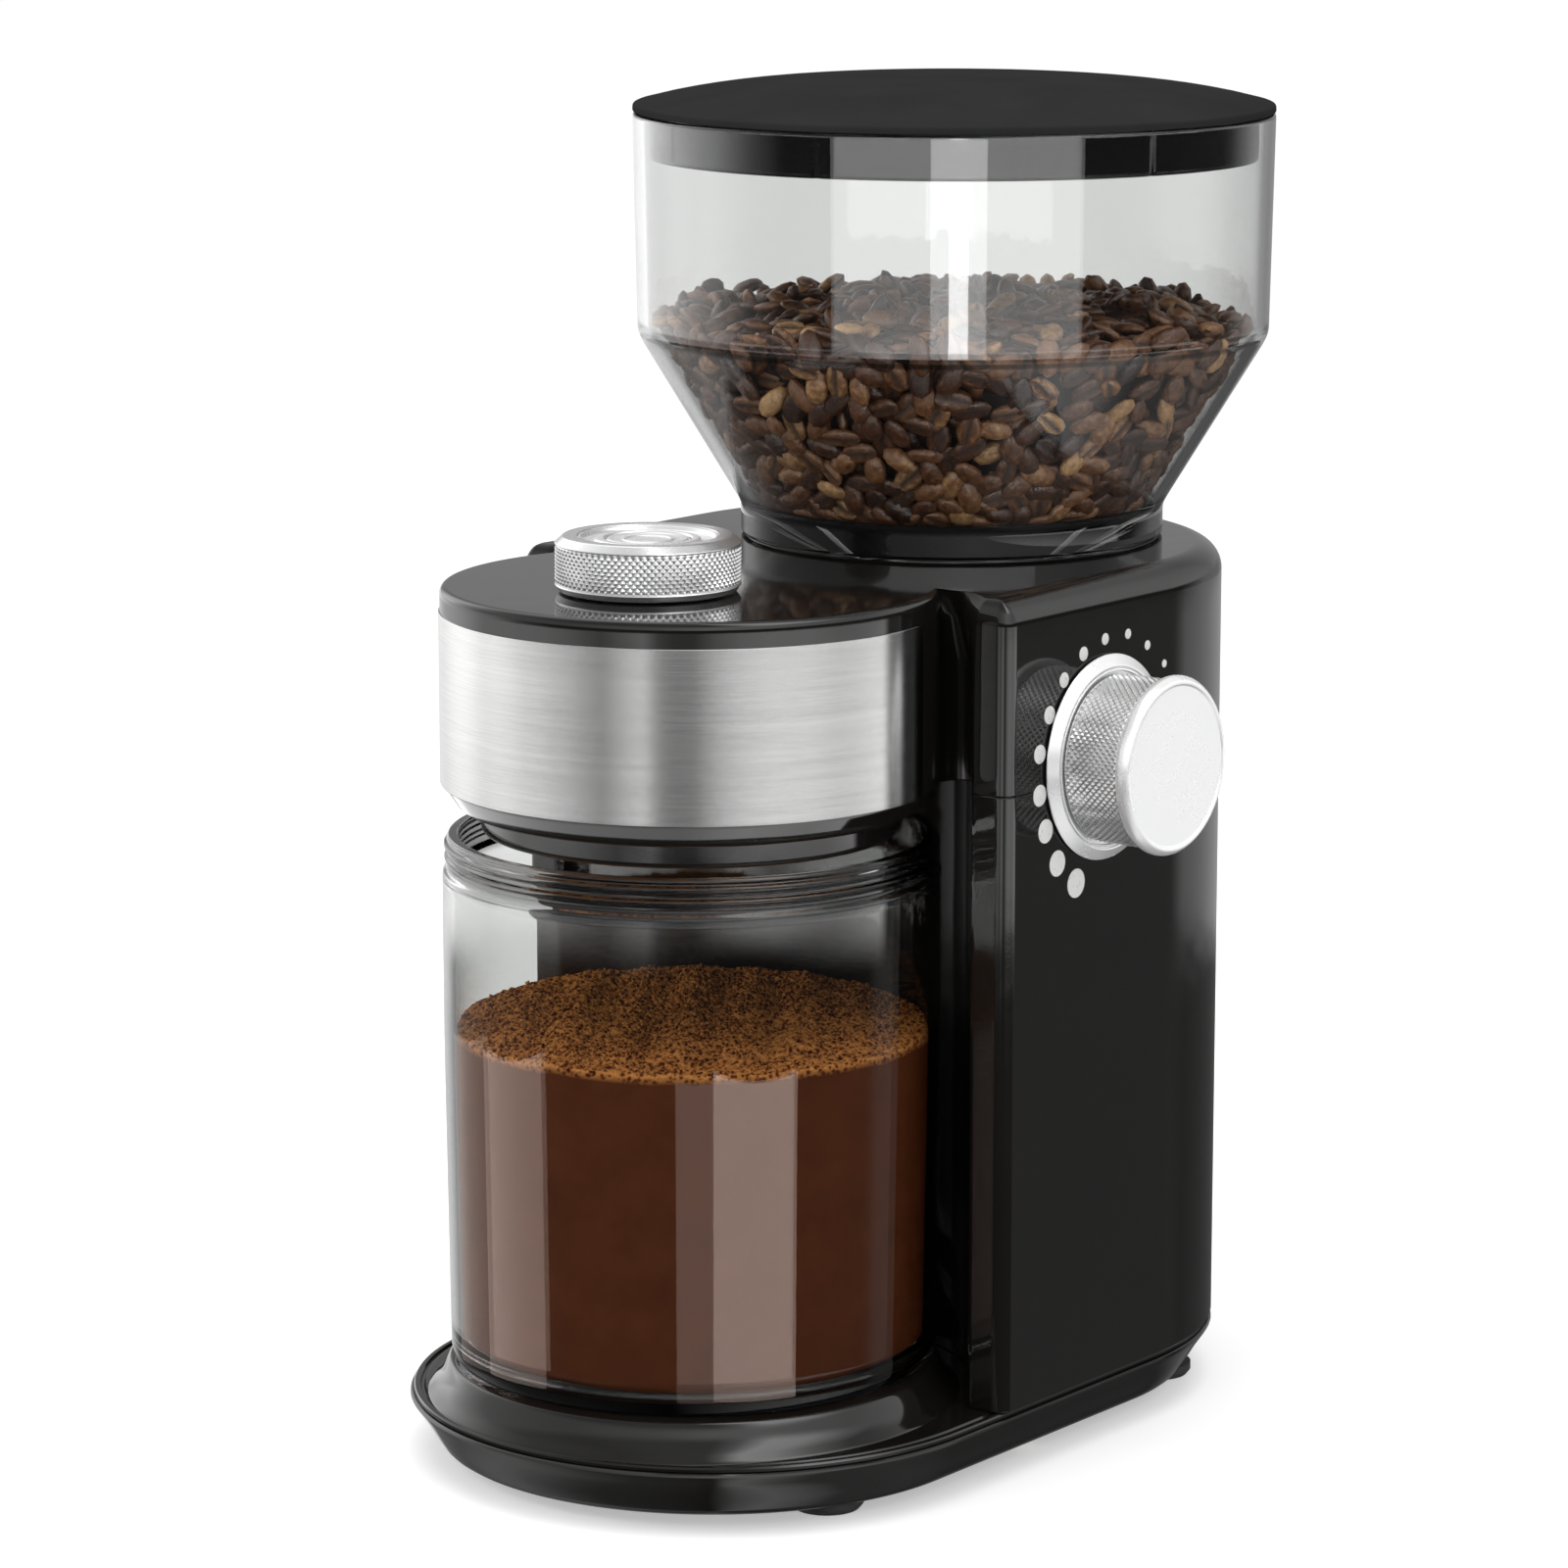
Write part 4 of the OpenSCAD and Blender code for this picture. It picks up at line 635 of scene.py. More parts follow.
def quantityKnob():
    r, z0, z1, at = knob["r"], knob["low"], knob["top"], knob["at"]
    grip = Shape().grid(knurled(r - 0.12, z0 + 1.5, z1 - 1.7, knob["knurl"], knob["pitch"], knob["depth"], at))
    edge = profile([(r - 0.55, z0 + 1.5), (r - 0.25, z0 + 1.42, 0.05), (r - 0.12, z0 + 1.2, 0.12), (r - 0.95, z0, 0.2),
                    (13.4, z0, 0.1), (13.4, z1 - 0.05, 0.1), (r - 1.75, z1, 0.3), (r - 0.1, z1 - 1.4, 0.2),
                    (r - 0.25, z1 - 1.62, 0.05), (r - 0.55, z1 - 1.7)], False)
    grip.grid(turned(edge, at, count=knob["knurl"] * 2))
    grip.build("knobGrip", "quantity_knob", "knob_metal", "knob_grip", sharp=25)
    b = knob["button"]
    cap = profile([(6.1, z0 + 1), (b + 1.8, z0 + 1), (b + 1.8, z1 - 4), (13.35, z1 - 4), (13.35, z1 - 0.35, 0.15),
                   (12.9, z1 - 0.25, 0.2), (12.3, z1 - 1.1, 0.4), (b + 2.4, z1 - 1.2, 0.3), (b + 1.9, z1 - 0.6, 0.3),
                   (b + 0.5, z1 - 0.55, 0.2), (b + 0.3, z1 - 0.9, 0.15), (b + 0.3, z0 + 2.6), (6.1, z0 + 2.6)])
    Shape().grid(turned(cap, at), rows=True).build("knobCap", "quantity_knob", "knob_bright", "knob_cap")
    face = profile([(0, z1 - 3.6), (b, z1 - 3.6), (b, z1 - 1.1, 0.2), (b - 0.5, z1 - 0.6, 0.35),
                    (b - 1.5, z1 - 0.95, 0.4), (5.0, z1 - 1.0, 0.3), (4.75, z1 - 0.75, 0.15), (4.3, z1 - 0.78, 0.15),
                    (4.1, z1 - 1.0, 0.2), (0, z1 - 1.05)], False)
    Shape().grid(turned(face, at, count=128)).build("startButton", "button", "knob_bright", "start_button")


# The dial's axis lies along x, so its profiles are (radius, x)
dial = {"at": (52, 137.7), "x": 60.3, "grip": 16.4, "cap": 17.4, "knurl": 72, "pitch": 1.43, "depth": 0.42, "hub": 3.05}


def grindDial():
    at, x, cap, hub = dial["at"], dial["x"], dial["cap"], dial["hub"]
    x1, x2, x3 = x + 1.8, x + 13.4, x + 16.6
    flange = profile([(hub, x), (19.8, x, 0.1), (20.1, x + 0.35, 0.3), (17.9, x1 + 0.02, 0.25), (17.6, x1 - 0.05, 0.1),
                      (17.55, x1 - 0.45), (17.35, x1 - 0.45), (17.3, x1 - 0.1, 0.1), (16.95, x1, 0.1),
                      (16.8, x1 - 0.7), (hub, x1 - 0.7)])
    rim = Shape().grid(laid(turned(flange, at)), rows=True).build("dialFlange", "dial", "knob_bright", "dial_flange")
    knurl = knurled(dial["grip"], x1 - 0.2, x2 + 0.05, dial["knurl"], dial["pitch"], dial["depth"], at)
    grip = Shape().grid(laid(knurl))
    inside = np.array([(16.0, x1 - 0.2), (hub, x1 - 0.2), (hub, x1 + 2), (13.4, x1 + 2), (13.4, x2 + 0.05),
                       (16.0, x2 + 0.05)])
    grip.grid(laid(turned(inside, at, count=dial["knurl"] * 2)))
    side = grip.build("dialGrip", "dial", "knob_metal", "dial_grip", sharp=25)
    face = profile([(0, x2), (16.3, x2, 0.1), (cap, x2 + 0.9, 0.5), (cap, x3 - 1.1, 0.6), (cap - 0.9, x3, 0.5),
                    (cap - 1.6, x3, 0.3), (cap - 1.9, x3 - 0.28, 0.2), (0, x3 - 0.3)], False)
    return rim, side, Shape().grid(laid(turned(face, at))).build("dialCap", "dial", "knob_bright", "dial_cap")


quantityKnob()
dialPieces = grindDial()
print("knobs done")

hopper = {
    "shell": [(64, 256.7, 0.7), (63.2, 213.4, 1.2), (62.4, 211.6, 1.5), (43.0, 179.6, 1.4), (42.5, 178.3, 1.0),
              (42.5, 172.9, 0.5), (41.2, 172.9, 0.4), (41.2, 165.1, 0.8), (14, 165.1, 0.6), (14, 167.1, 0.8),
              (40.1, 179.2, 2.0), (60.6, 212.8, 1.5), (61.1, 214.2, 1.5), (61.8, 256.7, 0.5)],
    "lidEdge": [(58.7, 254.6), (60.3, 254.6), (60.3, 257.0), (64, 257.0, 0.3), (64, 258.3, 0.6), (63.3, 258.6)],
    "lidSkirt": [(58.7, 248.6, 0.3), (59.0, 248, 0.3), (60.5, 248, 0.3), (60.7, 248.5, 0.3), (60.7, 257.0),
                 (58.7, 257.0)],
    "slits": (-115.9, -79.2, -15.8, 64.1, 100.8, 164.2), "slitHalf": 0.55, "slitDeep": 0.7,
    "rise": 4.8, "flatness": 3.5,
}


# Soft light passes a clear piece as if it weren't there, with no shadow
def clearOf(piece):
    piece.visible_diffuse = piece.visible_shadow = False
    return piece


def beanHopper():
    shape = Shape().grid(turned(profile(hopper["shell"]), hopperAxis, count=220), rows=True)
    return clearOf(shape.build("beanHopper", "hopper", "clear_plastic", "bean_hopper"))


# The lid: a flat dome z = 258.6 + rise (1 - (r / R)^3.5) over a plain edge
def hopperLid():
    t = np.linspace(0, 1, 26) ** 0.8
    rise = hopper["rise"] * (1 - (1 - t) ** hopper["flatness"])
    dome = np.stack([63.3 * (1 - t), 258.6 + rise], 1)
    inside = np.stack([58.7 * (1 - t), 256.6 + rise], 1)[::-1]
    points = np.vstack([profile(hopper["lidEdge"], False), dome[1:], inside])
    Shape().grid(turned(points, hopperAxis, count=180)).build("hopperLid", "lid", "lid_plastic", "hopper_lid")


# The lid's skirt, glossy, with six moulded slits where its radius dips
def lidSkirt():
    loop, half = profile(hopper["lidSkirt"]), hopper["slitHalf"]
    slits = np.array(hopper["slits"])[:, None]
    edges = (slits + np.array([-1.4, -1, 1, 1.4]) * half).ravel()
    angles = np.unique(np.concatenate([np.linspace(-180, 180, 180, endpoint=False), edges]))
    points = turned(loop, hopperAxis, angles)
    off = np.abs((angles - slits + 180) % 360 - 180).min(0)
    skirt = (loop[:, 0] > 60) & (loop[:, 1] < 256)
    dip = np.where(skirt[:, None] & (off <= half * 1.05)[None], 1 - hopper["slitDeep"] / 60.7, 1.0)
    points[..., :2] = (points[..., :2] - hopperAxis) * dip[..., None] + hopperAxis
    return Shape().grid(points, rows=True).build("lidSkirt", "lid", "lid_plastic", finish=finishes["lid_skirt"])


cup = [(0, 20.6), (45.0, 20.6, 0.6), (46.7, 21.3, 0.6), (47.2, 23.1, 1.2), (48, 85, 4), (48, 116.9, 0.5),
       (47, 117.9, 0.5), (47, 119.1, 0.2), (47.65, 119.5, 0.3), (47.65, 120.1, 0.3), (47, 120.6, 0.2),
       (47, 121.4, 0.2), (47.7, 121.9, 0.3), (47.7, 122.6, 0.3), (47, 123.1, 0.2), (47, 123.8, 0.3),
       (46.6, 124.3, 0.3), (45.1, 124.3, 0.3), (44.8, 123.9, 0.2), (44.8, 117.4, 0.6), (45.8, 115.4, 0.8),
       (45.8, 85, 4), (45.0, 26, 1.4), (42.5, 22.8, 1.6), (0, 22.8)]


def groundsCup():
    shape = Shape().grid(turned(profile(cup, False), count=220))
    return clearOf(shape.build("groundsCup", "cup", "cup_plastic", "grounds_cup"))


hopperShell = beanHopper()
hopperLid()
lidRing = lidSkirt()
cupShell = groundsCup()
print("hopper, lid and cup done")

beans = {
    "count": 2050, "ball": 2.36, "heap": 219.0, "dome": 2.5, "shell": 7.2, "half": (3.75, 2.45, 1.6),
    "around": (0, 50, 100, 148, 180, 212, 260, 310), "along": 5, "steps": 60, "size": (0.9, 1.08),
    "wall": ([167.1, 179.2, 212.8, 214.2, 256.7], [14, 40.1, 60.6, 61.1, 61.8]),  # heights, inner radii
}


# The hopper's inner radius at a height: funnel, cone and bowl joined as straight runs
def innerRadius(z):
    return np.interp(z, *beans["wall"])


# The wall's normal (outwards, up) at a height
def wallNormal(z):
    slope = (innerRadius(z + 0.2) - innerRadius(z - 0.2)) / 0.4
    return np.stack([np.ones_like(z), -slope], 1) / np.sqrt(1 + slope ** 2)[:, None]


# The heap's height: a low dome with two crossed ripples
def heapTop(x, y):
    dome = beans["dome"] * (1 - (np.hypot(x, y) / 61) ** 2)
    return beans["heap"] + dome + np.sin(x * 0.11 + 1.2) * np.cos(y * 0.13) + 0.8 * np.sin(x * 0.29 + y * 0.17)


# How far points lie inside the hopper's wall and under the heap's top
def depths(at):
    x, y, z = at.T
    return (innerRadius(z) - np.hypot(x, y)) * wallNormal(z)[:, 0], heapTop(x, y) - z


# Every ordered pair of points that lie closer than reach
def near(at, reach):
    tree = KDTree(len(at))
    for i, point in enumerate(at):
        tree.insert(point, i)
    tree.balance()
    pairs = [(i, j) for i, point in enumerate(at) for _, j, _ in tree.find_range(point, reach) if i != j]
    return np.array(pairs).T


# Balls pushed apart, off the wall and down under the heap's top until they lie close without overlap
def packBalls():
    n, ball = beans["count"], beans["ball"]
    z = rng.uniform(172, beans["heap"], n * 3)
    a, r = rng.uniform(0, 2 * np.pi, n * 3), innerRadius(z) * np.sqrt(rng.uniform(0, 1, n * 3))
    at = polar(r, a, z)
    at = at[np.minimum(*depths(at)) < beans["shell"]][:n]
    for _ in range(beans["steps"]):
        i, j = near(at, 2 * ball)
        gap = at[i] - at[j]
        far = np.linalg.norm(gap, axis=1)[:, None] + 1e-9
        np.add.at(at, i, gap / far * (2 * ball - far) * 0.28)
        at[:, 2] -= 0.05
        r = np.hypot(at[:, 0], at[:, 1]) + 1e-9
        normal = wallNormal(at[:, 2])
        into = np.maximum(ball - (innerRadius(at[:, 2]) - r) * normal[:, 0], 0)
        at[:, :2] -= at[:, :2] / r[:, None] * (into * normal[:, 0])[:, None]
        at[:, 2] -= into * normal[:, 1]
        at[:, 2] = np.minimum(at[:, 2], heapTop(at[:, 0], at[:, 1]) - ball * 0.7)
        at[:, 2] += np.maximum(np.minimum(*depths(at)) - beans["shell"], 0) * 0.3
    return at


# One bean: an egg shape with its underside flattened and creased along its length
def beanShape():
    around, along = np.radians(beans["around"]), np.radians(np.linspace(4, 176, beans["along"] + 1))[:, None]
    long, wide, high = beans["half"]
    swell, lift = np.sin(along) ** 0.85, np.cos(around)
    under, crease = lift < -0.2, np.abs(around - np.pi) < 0.1
    z = np.where(crease, -0.18, np.where(under, -0.5, np.maximum(lift, 0)))
    y = swell * np.sin(around) * wide + 0.22 * np.sin(along * 2) * under
    return np.stack(np.broadcast_arrays(np.cos(along) * long, y, swell * z * high), -1), crease


def unit(vectors):
    return vectors / np.linalg.norm(vectors, axis=1)[:, None]


# Beans lie along the wall or the heap's top, each tilted and sized at random, and stay off the wall
def coffeeBeans():
    at = packBalls()
    form, crease = beanShape()
    n, (rows, columns) = len(at), form.shape[:2]
    inWall, underTop = depths(at)
    normal = wallNormal(at[:, 2])
    outward = np.column_stack([at[:, :2] / np.hypot(at[:, 0], at[:, 1])[:, None] * normal[:, :1], normal[:, 1:]])
    facing = np.where((inWall < underTop)[:, None], outward, [[0, 0, 1.0]])
    facing = unit(facing + rng.normal(0, 0.28, (n, 3)) * np.where(inWall < 5, 0.7, 1.6)[:, None])
    facing *= np.where(rng.uniform(size=n) < 0.5, -1, 1)[:, None]
    side = unit(np.cross(facing, rng.normal(0, 1, (n, 3))))
    axes = np.stack([side, np.cross(facing, side), facing], 1)
    size = rng.uniform(*beans["size"], (n, 1, 1, 3))
    points = (((form[None] * size) @ axes[:, None]) + at[:, None, None]).reshape(-1, 3)
    out = np.hypot(points[:, 0], points[:, 1])
    points[:, :2] *= (np.minimum(innerRadius(points[:, 2]) - 0.35, out) / out)[:, None]
    first = (np.arange(n) * rows * columns)[:, None, None]
    ends = np.arange(rows * columns).reshape(rows, columns)[[0, -1]]
    ends[1] = ends[1, ::-1]
    faces = (quads(rows, columns) + first).reshape(-1, 4).tolist() + (ends + first).reshape(-1, columns).tolist()
    piece = meshPiece("coffeeBeans", points + [*hopperAxis, 0], faces, roastedBean())
    pointValues(piece, "tone", np.repeat(np.clip(rng.normal(0.5, 0.2, n), 0.02, 1), rows * columns))
    pointValues(piece, "crease", np.tile(crease, n * rows))
    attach(piece, "hopper")
    print("beans:", n, "faces", len(faces))


# A dark shape inside the heap, its colour painted shade, so that no light comes through between the beans
def beanShadeCore():
    z = np.linspace(171, 213, 12)
    side = np.stack([np.maximum(innerRadius(z) - 6.2, 4), z], 1)
    core = np.vstack([[[0, 170.8]], side, [[40, 213.6], [0, 214.2]]])
    shape = Shape().grid(turned(core, hopperAxis, count=64))
    # Its near-black colour is painted shade
    shape.build("beanShadeCore", "hopper", "dark_plastic", finish=satinPlastic("beanShade", (0.012, 0.005, 0.003), 0.8))


grounds = {
    "low": 23.0, "top": 87.0, "lump": 0.9, "rise": 1.2, "crumbs": 3600,
    "side": [(0.006, 45.55), (0.03, 45.55), (0.2, 45.5), (0.5, 45.2), (0.8, 44.9), (0.93, 44.7)],  # (depth, radius)
}


# The heap's height: a low mound with a few soft lumps, summed sines of x and y
def groundsTop(x, y):
    r = np.hypot(x, y)
    lumps = (np.sin(x * 0.21 + 0.5) * np.cos(y * 0.17 + 0.8) + 0.6 * np.sin(x * 0.47 + y * 0.33 + 1.9)
             + 0.35 * np.sin(x * 0.93 - y * 0.81))
    return (grounds["top"] + grounds["lump"] * lumps * np.clip((46 - r) / 9, 0.25, 1)
            + grounds["rise"] * (1 - (r / 45.5) ** 2))


def coffeeGrounds():
    a = np.linspace(0, 2 * np.pi, 200, endpoint=False)[None]
    r = np.concatenate([np.linspace(0, 44.8, 56), [45.2, 45.45]])[:, None]
    top = polar(r, a, groundsTop(r * np.cos(a), r * np.sin(a)))
    top[..., 2] += rng.normal(0, 0.28, top.shape[:2]) * (r > 0) * (r < 45.3)
    depth, wide = np.array(grounds["side"]).T[..., None]
    side = polar(wide, a, top[-1, :, 2] * (1 - depth) + grounds["low"] * depth)
    floor = polar(np.array([[42.3], [0]]), a, grounds["low"])
    finish = groundCoffee()
    shape = Shape().grid(np.concatenate([top, side, floor]))
    piece = shape.build("coffeeGrounds", "cup", "dark_plastic", finish=finish, sharp=180)
    at = np.empty(len(piece.data.vertices) * 3)
    piece.data.vertices.foreach_get("co", at)
    x, y, z = (at.reshape(-1, 3) * 1000 - cupAxis * 1000).T
    pointValues(piece, "loose", np.clip((z - groundsTop(x, y) + 1.6) / 1.2, 0, 1))
    n = grounds["crumbs"]
    r, t = 44.9 * np.sqrt(rng.uniform(0, 1, n)), rng.uniform(0, 2 * np.pi, n)
    middle = polar(r, t, groundsTop(r * np.cos(t), r * np.sin(t)) + rng.uniform(-0.1, 0.3, n))
    corners = np.stack([np.eye(3), -np.eye(3)], 1).reshape(6, 3)
    sides = np.array([[0, 2, 4], [2, 1, 4], [1, 3, 4], [3, 0, 4], [2, 0, 5], [1, 2, 5], [3, 1, 5], [0, 3, 5]])
    turn = np.linalg.qr(rng.normal(0, 1, (n, 3, 3)))[0]
    size = rng.uniform(0.3, 0.75, (n, 1, 1)) * rng.uniform(0.6, 1.2, (n, 6, 1))
    points = (corners[None] * size) @ turn + middle[:, None]
    crumbs = Shape().put(points, (sides + (np.arange(n) * 6)[:, None, None]).reshape(-1, 3))
    loose = crumbs.build("looseCrumbs", "cup", "dark_plastic", finish=finish, sharp=180, merge=1e-9)
    pointValues(loose, "loose", np.ones(len(loose.data.vertices)))


coffeeBeans()
beanShadeCore()
coffeeGrounds()
print("coffee done")

# Printed dots beside the dial, as (y, z, width)
dots = [(42.9, 114.3, 5.7), (36.6, 119.2, 5.1), (32.6, 126.1, 4.7), (30.6, 133.3, 4.2), (30.5, 141.3, 3.7),
        (33.6, 148.4, 3.5), (38.3, 154.5, 3.0), (44.7, 158.7, 2.8), (51.9, 160.6, 2.3), (59.6, 160.6, 2.0),
        (66.3, 157.5, 1.9), (72.2, 153.1, 1.6)]


def grindDots():
    shape = Shape()
    under, face = body["halfWidth"] - 0.1, body["halfWidth"] + 0.06
    for y, z, wide in dots:
        disc = profile([(0, under), (wide / 2, under), (wide / 2, face, 0.03), (0, face)], False, 2)
        shape.grid(laid(turned(disc, (y, z), count=40)))
    shape.build("grindDots", "chassis", "knob_bright", finish=whitePrint())


grindDots()
print("marks done")


# Which rays see the plain backdrop, straight or on their way through clear plastic, and which come from gloss
def rayKinds(f, away=1.0):
    path = f.tree.nodes.new("ShaderNodeLightPath")
    keys = ("Is Camera Ray", "Is Glossy Ray", "Is Transmission Ray", "Glossy Depth", "Diffuse Depth")
    direct, glossy, through, mirrors, scatters = (Signal(f, path.outputs[key]) for key in keys)
    straight = f.maths("LESS_THAN", mirrors + scatters, 0.5)
    return f.maths("MAXIMUM", direct, through * straight * away), glossy * f.maths("LESS_THAN", scatters, 0.5)


stage = {"half": 6, "glow": 0.4}


def studioFloor():
    corners = np.array([(-1, -1, 0), (1, -1, 0), (1, 1, 0), (-1, 1, 0)]) * stage["half"]
    mesh = bpy.data.meshes.new("studioFloor")
    mesh.from_pydata(corners, [], [(0, 1, 2, 3)])
    floor = placed("studioFloor", mesh)
    f = Finish("studioFloor", (0.8, 0.8, 0.8), 1.0, Specular_IOR_Level=0.0)
    plain = Signal(f, f.shader.outputs[0])
    seen, _ = rayKinds(f)
    glow = f.node("Emission", {}, {"Color": (1.0, 1.0, 1.0), "Strength": stage["glow"]})
    mixed = f.node("MixShader", {}, {0: seen, 1: plain, 2: f.node("AddShader", {}, {0: plain, 1: glow})})
    f.tree.links.new(mixed.socket, f.tree.nodes["Material Output"].inputs[0])
    mesh.materials.append(f.material)
    floor.visible_glossy = floor.visible_transmission = False


camera = {
    "at": (0.67125, -0.8927, 0.343), "turn": 37.789, "down": 10.965, "lens": 132.07, "sensor": 36, "clip": (0.05, 30),
}

# The room in bands of ray height: where each fades in, and its brightness by compass angle from the camera
room = {
    "bands": [
        (None, [
            (-180, 0.4), (-165, 0.2), (-153, 0.18), (-145, 0.3), (-137, 0.45), (-129, 0.5), (-118, 0.4), (-107, 0.25),
            (-96, 0.15), (-55, 0.1), (-10, 0.03), (15, 0.4), (33, 0.75), (63, 1.1), (84, 0.7), (100, 0.22),
            (125, 0.18), (147, 0.05), (180, 0.3)]),
        ((-0.42, -0.36), [
            (-180, 0.9), (-158, 0.7), (-147, 0.25), (-130, 0.15), (-90, 0.1), (-60, 0.05), (90, 0.05), (97, 0.17),
            (112, 0.17), (122, 0.1), (180, 0.1)]),
        ((-0.222, -0.21), [
            (-180, 0.8), (-150, 1), (-130, 1.6), (-120, 1.67), (-108, 1.44), (-90, 1.95), (-70, 2.07), (-58, 1.72),
            (-40, 0.86), (-31, 1.55), (-21, 2.3), (-14, 0.8), (-7, 0.46), (2, 0.46), (12, 1.38), (24, 2.18),
            (38, 2.53), (55, 2.42), (70, 2.01), (82, 2.07), (99, 2.3), (102, 0.16), (112, 0.2), (120, 0.7),
            (150, 0.6), (180, 0.3)]),
        ((-0.158, -0.146), [
            (-180, 1.0), (-150, 1.4), (-120, 1.6), (-98, 1.3), (-80, 0.4), (-66, 0.05), (115, 0.05), (135, 0.5),
            (155, 0.3), (180, 0.4)]),
        ((-0.03, 0.05), [
            (-180, 0.4), (-165, 0.4), (-153, 1.6), (-140, 2.2), (-128, 1.6), (-110, 0.9), (-60, 0.7), (-20, 1.1),
            (10, 1.8), (50, 1.5), (80, 1.1), (110, 1.2), (145, 0.45), (180, 0.4)]),
        ((0.45, 0.7), [
            (-180, 1.5), (-160, 1.5), (-140, 1.3), (-119, 0.9), (-100, 0.5), (-60, 0.35), (-20, 0.5), (12, 0.5),
            (25, 1.4), (42, 4.4), (64, 3.7), (84, 1.6), (100, 0.5), (150, 0.8), (180, 1.5)]),
    ],
    "brightest": 5.0, "soft": (0.75, 0.75, 0.75),
}


# The room: plain white to the camera and through clear plastic, an even glow to matt surfaces, panels to gloss
def studioRoom():
    world = bpy.data.worlds.new("studioRoom")
    bpy.context.scene.world = world
    world.use_nodes = True
    f = Nodes(world.node_tree)
    top = room["brightest"]
    ray = f.node("TexCoord", {}, {}, "Generated")
    turn = math.radians(camera["turn"])
    toCamera, toRight = (math.sin(turn), -math.cos(turn), 0), (math.cos(turn), math.sin(turn), 0)
    ahead, across = (f.node("VectorMath", {"operation": "DOT_PRODUCT"}, {0: ray, 1: way}, "Value")
                     for way in (toCamera, toRight))
    angle = f.maths("ARCTAN2", across, ahead) * (1 / math.tau) + 0.5
    height = f.node("SeparateXYZ", {}, {0: ray}, "Z")
    for fade, stops in room["bands"]:
        ring = f.ramp(angle, *[(a / 360 + 0.5, v / top) for a, v in stops])
        gloss = f.blend(f.step(height, *fade), gloss, ring) if fade else ring
    gloss = f.node("VectorMath", {"operation": "SCALE"}, {0: gloss, "Scale": top})
    seen, shiny = rayKinds(f, f.maths("LESS_THAN", ahead, 0.0))
    colour = f.blend(seen, f.blend(shiny, room["soft"], gloss), (1.0, 1.0, 1.0))
    f.set(f.tree.nodes["Background"], {"Color": colour, "Strength": 1.0})


# An area lamp that only matt surfaces ("light") or only mirrors ("gloss") see, and if named only some pieces
def softLight(name, at, aim, width, height, power, shows, pieces=(), colour=(1, 1, 1)):
    lamp = bpy.data.lights.new(name, "AREA")
    lamp.shape, lamp.size, lamp.size_y, lamp.energy = "RECTANGLE", width, height, power
    lamp.color = colour
    made = placed(name, lamp)
    made.location = at
    made.rotation_euler = (Vector(aim) - Vector(at)).to_track_quat("-Z", "Y").to_euler()
    made.visible_camera = False
    made.visible_glossy = shows == "gloss"
    made.visible_diffuse = shows == "light"
    if pieces:
        made.light_linking.receiver_collection = bpy.data.collections.new(name)
        for piece in pieces:
            made.light_linking.receiver_collection.objects.link(piece)


# Name, place, aim, width, height, power, and what it shows to
lamps = [
    ("overhead", (0.1, -0.1, 1.5), (0, 0, 0.1), 1.4, 1.4, 12, "light"),
    ("leftSoft", (-1.2, -1.0, 0.9), (0, 0, 0.12), 0.9, 0.9, 6, "light"),
    ("ringGlow", (*cupAxis[:2], 0.001), (*cupAxis[:2], 0.1), 0.7, 0.7, 2.6, "gloss", (underRing,)),
    ("dialGlow", (0.344, 0.413, 0.044), (0.07, 0.0045, 0.1377), 0.45, 0.35, 0.39, "gloss", dialPieces),
]
clearHopper = {"pieces": (hopperShell, lidRing), "y": 84, "r": 63.6, "tilt": 0.03}
clearCup = {"pieces": (cupShell,), "y": 0, "r": 48, "heights": (15, 90), "far": 0.3, "colour": (1.0, 0.8, 0.71)}
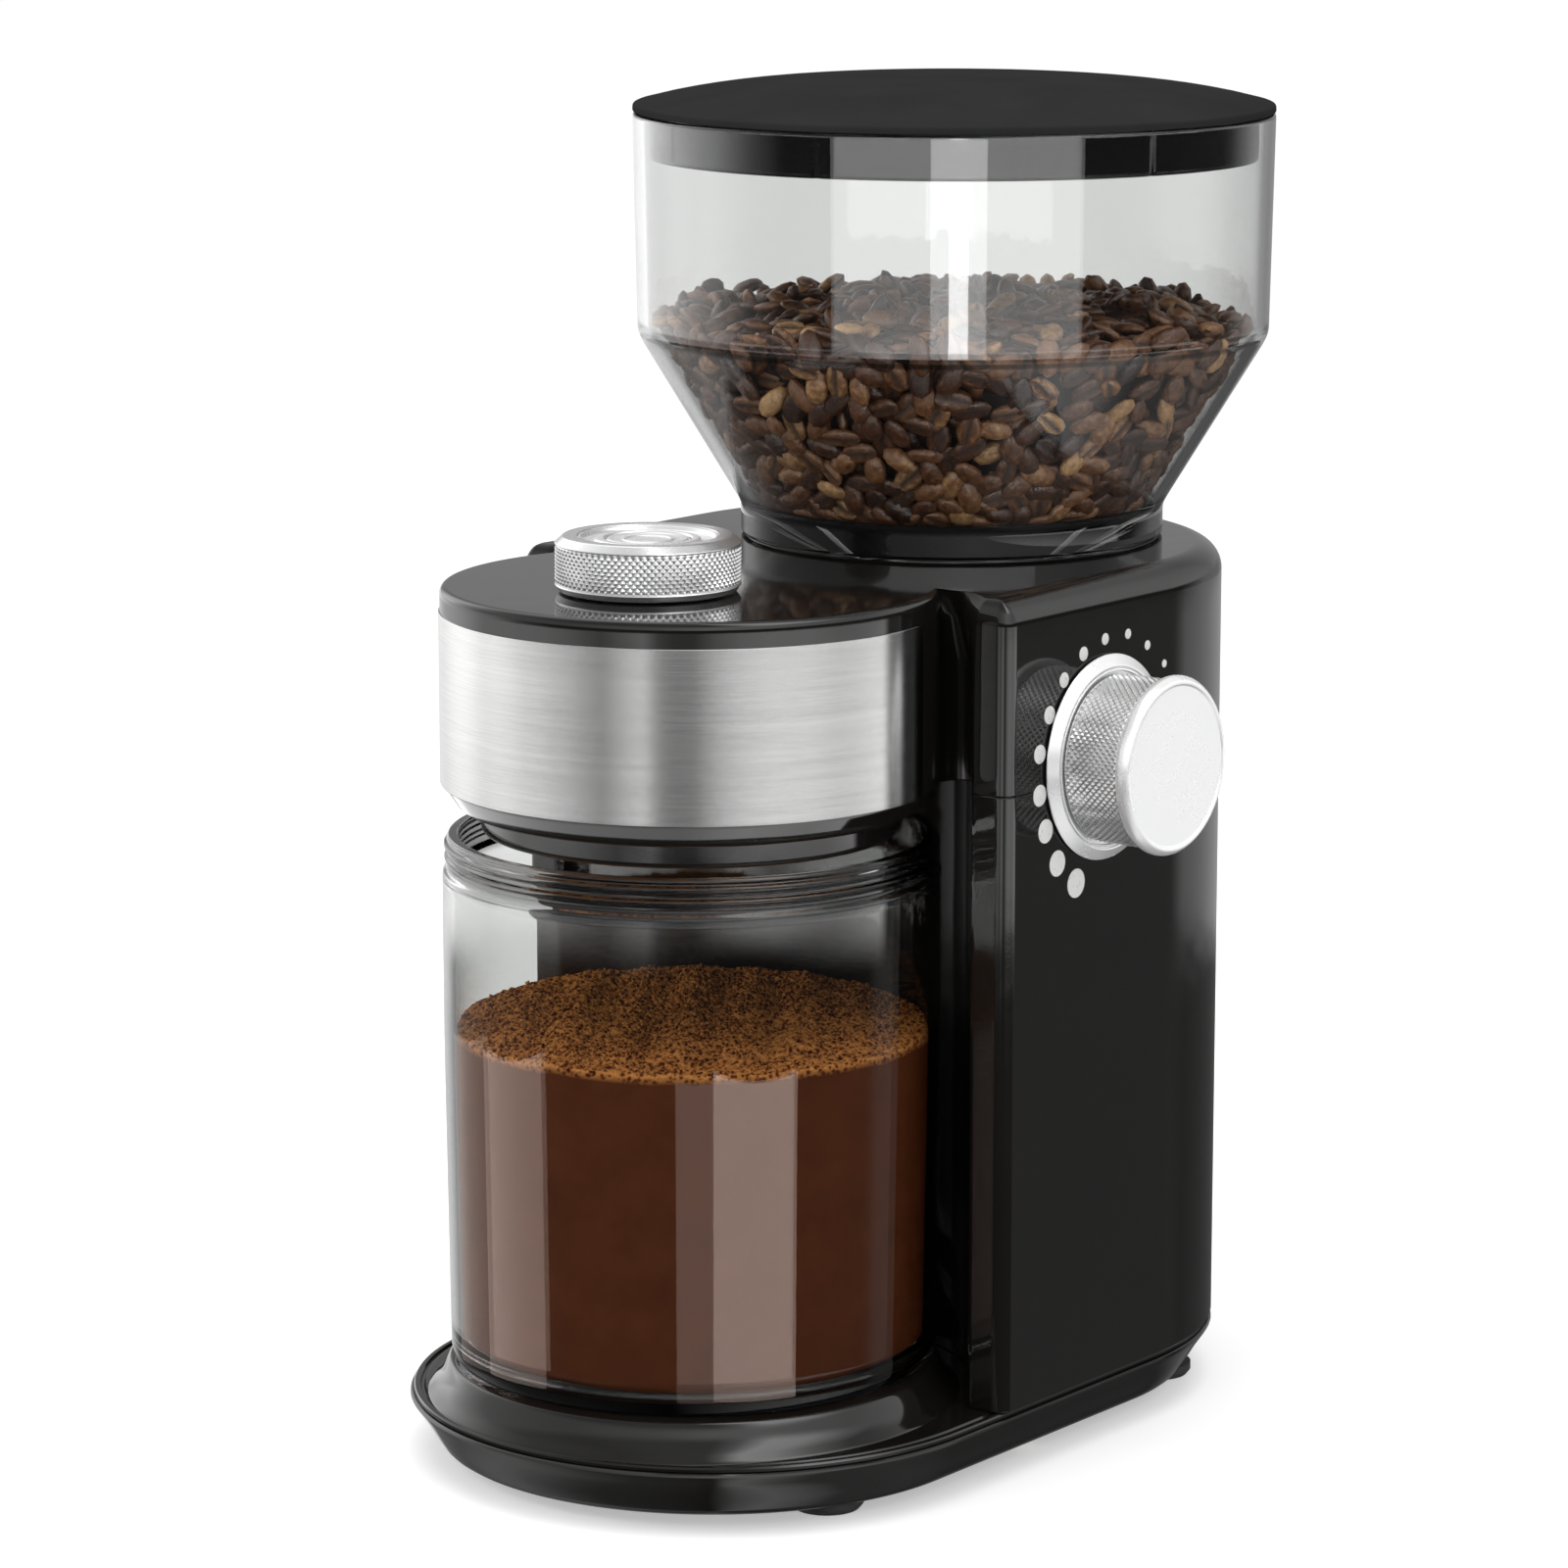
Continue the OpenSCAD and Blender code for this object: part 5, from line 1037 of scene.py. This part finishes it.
glints = {
    "hopperStrip": {**clearHopper, "angles": (-1.5, 5.5), "heights": (203, 247), "glow": 9, "far": 0.6},
    "hopperWings": {**clearHopper, "angles": (-8, 12), "heights": (203, 275), "glow": 2.4, "far": 0.5},
    "hopperVeil": {**clearHopper, "angles": (-44, 47), "heights": (203, 275), "glow": 1.9, "far": 0.35},
    "cupBroad": {**clearCup, "angles": (9.4, 49), "glow": 2.9},
    "cupNarrow": {**clearCup, "angles": (-8, 9.4), "glow": 0.9},
    "cupLeft": {**clearCup, "angles": (-113, -74), "glow": 1.6},
    "cupEdge": {**clearCup, "angles": (-145, -113), "glow": 0.45},
}


# A panel that an upright round surface mirrors between two angles from the camera: each of its edges lies
# far along the ray that leaves the surface at angle / 2
def glint(name, pieces, y, r, angles, heights, glow, far, tilt=0.0, colour=(1, 1, 1)):
    centre = cupAxis[:2] + [0, y / 1000]
    eye = np.array(camera["at"])
    away = np.linalg.norm(eye[:2] - centre)
    ahead = (eye[:2] - centre) / away
    across = np.array([-ahead[1], ahead[0]])

    def spread(a):
        return np.cos(a)[..., None] * ahead + np.sin(a)[..., None] * across

    psi = np.radians(angles)
    middle = spread(psi.mean())
    start, leave = spread(psi / 2) * r / 1000, spread(psi)
    ends = start + leave * ((far - start @ middle) / (leave @ middle))[:, None]
    z = np.array(heights) / 1000
    z = z - far * ((eye[2] - z) / away + tilt)
    at = centre + ends.mean(0)
    width, height = np.linalg.norm(ends[1] - ends[0]), z[1] - z[0]
    power = glow * math.pi * width * height
    softLight(name, (*at, z.mean()), (*(at - middle), z.mean()), width, height, power, "gloss", pieces, colour)


def studio():
    studioFloor()
    studioRoom()
    for lamp in lamps:
        softLight(*lamp)
    for name, size in glints.items():
        glint(name, **size)
    lens = bpy.data.cameras.new("camera")
    lens.lens, lens.sensor_width = camera["lens"], camera["sensor"]
    lens.clip_start, lens.clip_end = camera["clip"]
    view = placed("camera", lens)
    view.location = camera["at"]
    view.rotation_euler = (math.radians(90 - camera["down"]), 0, math.radians(camera["turn"]))
    bpy.context.scene.camera = view
    bpy.context.scene.view_settings.view_transform = "Standard"


studio()
print("studio done")
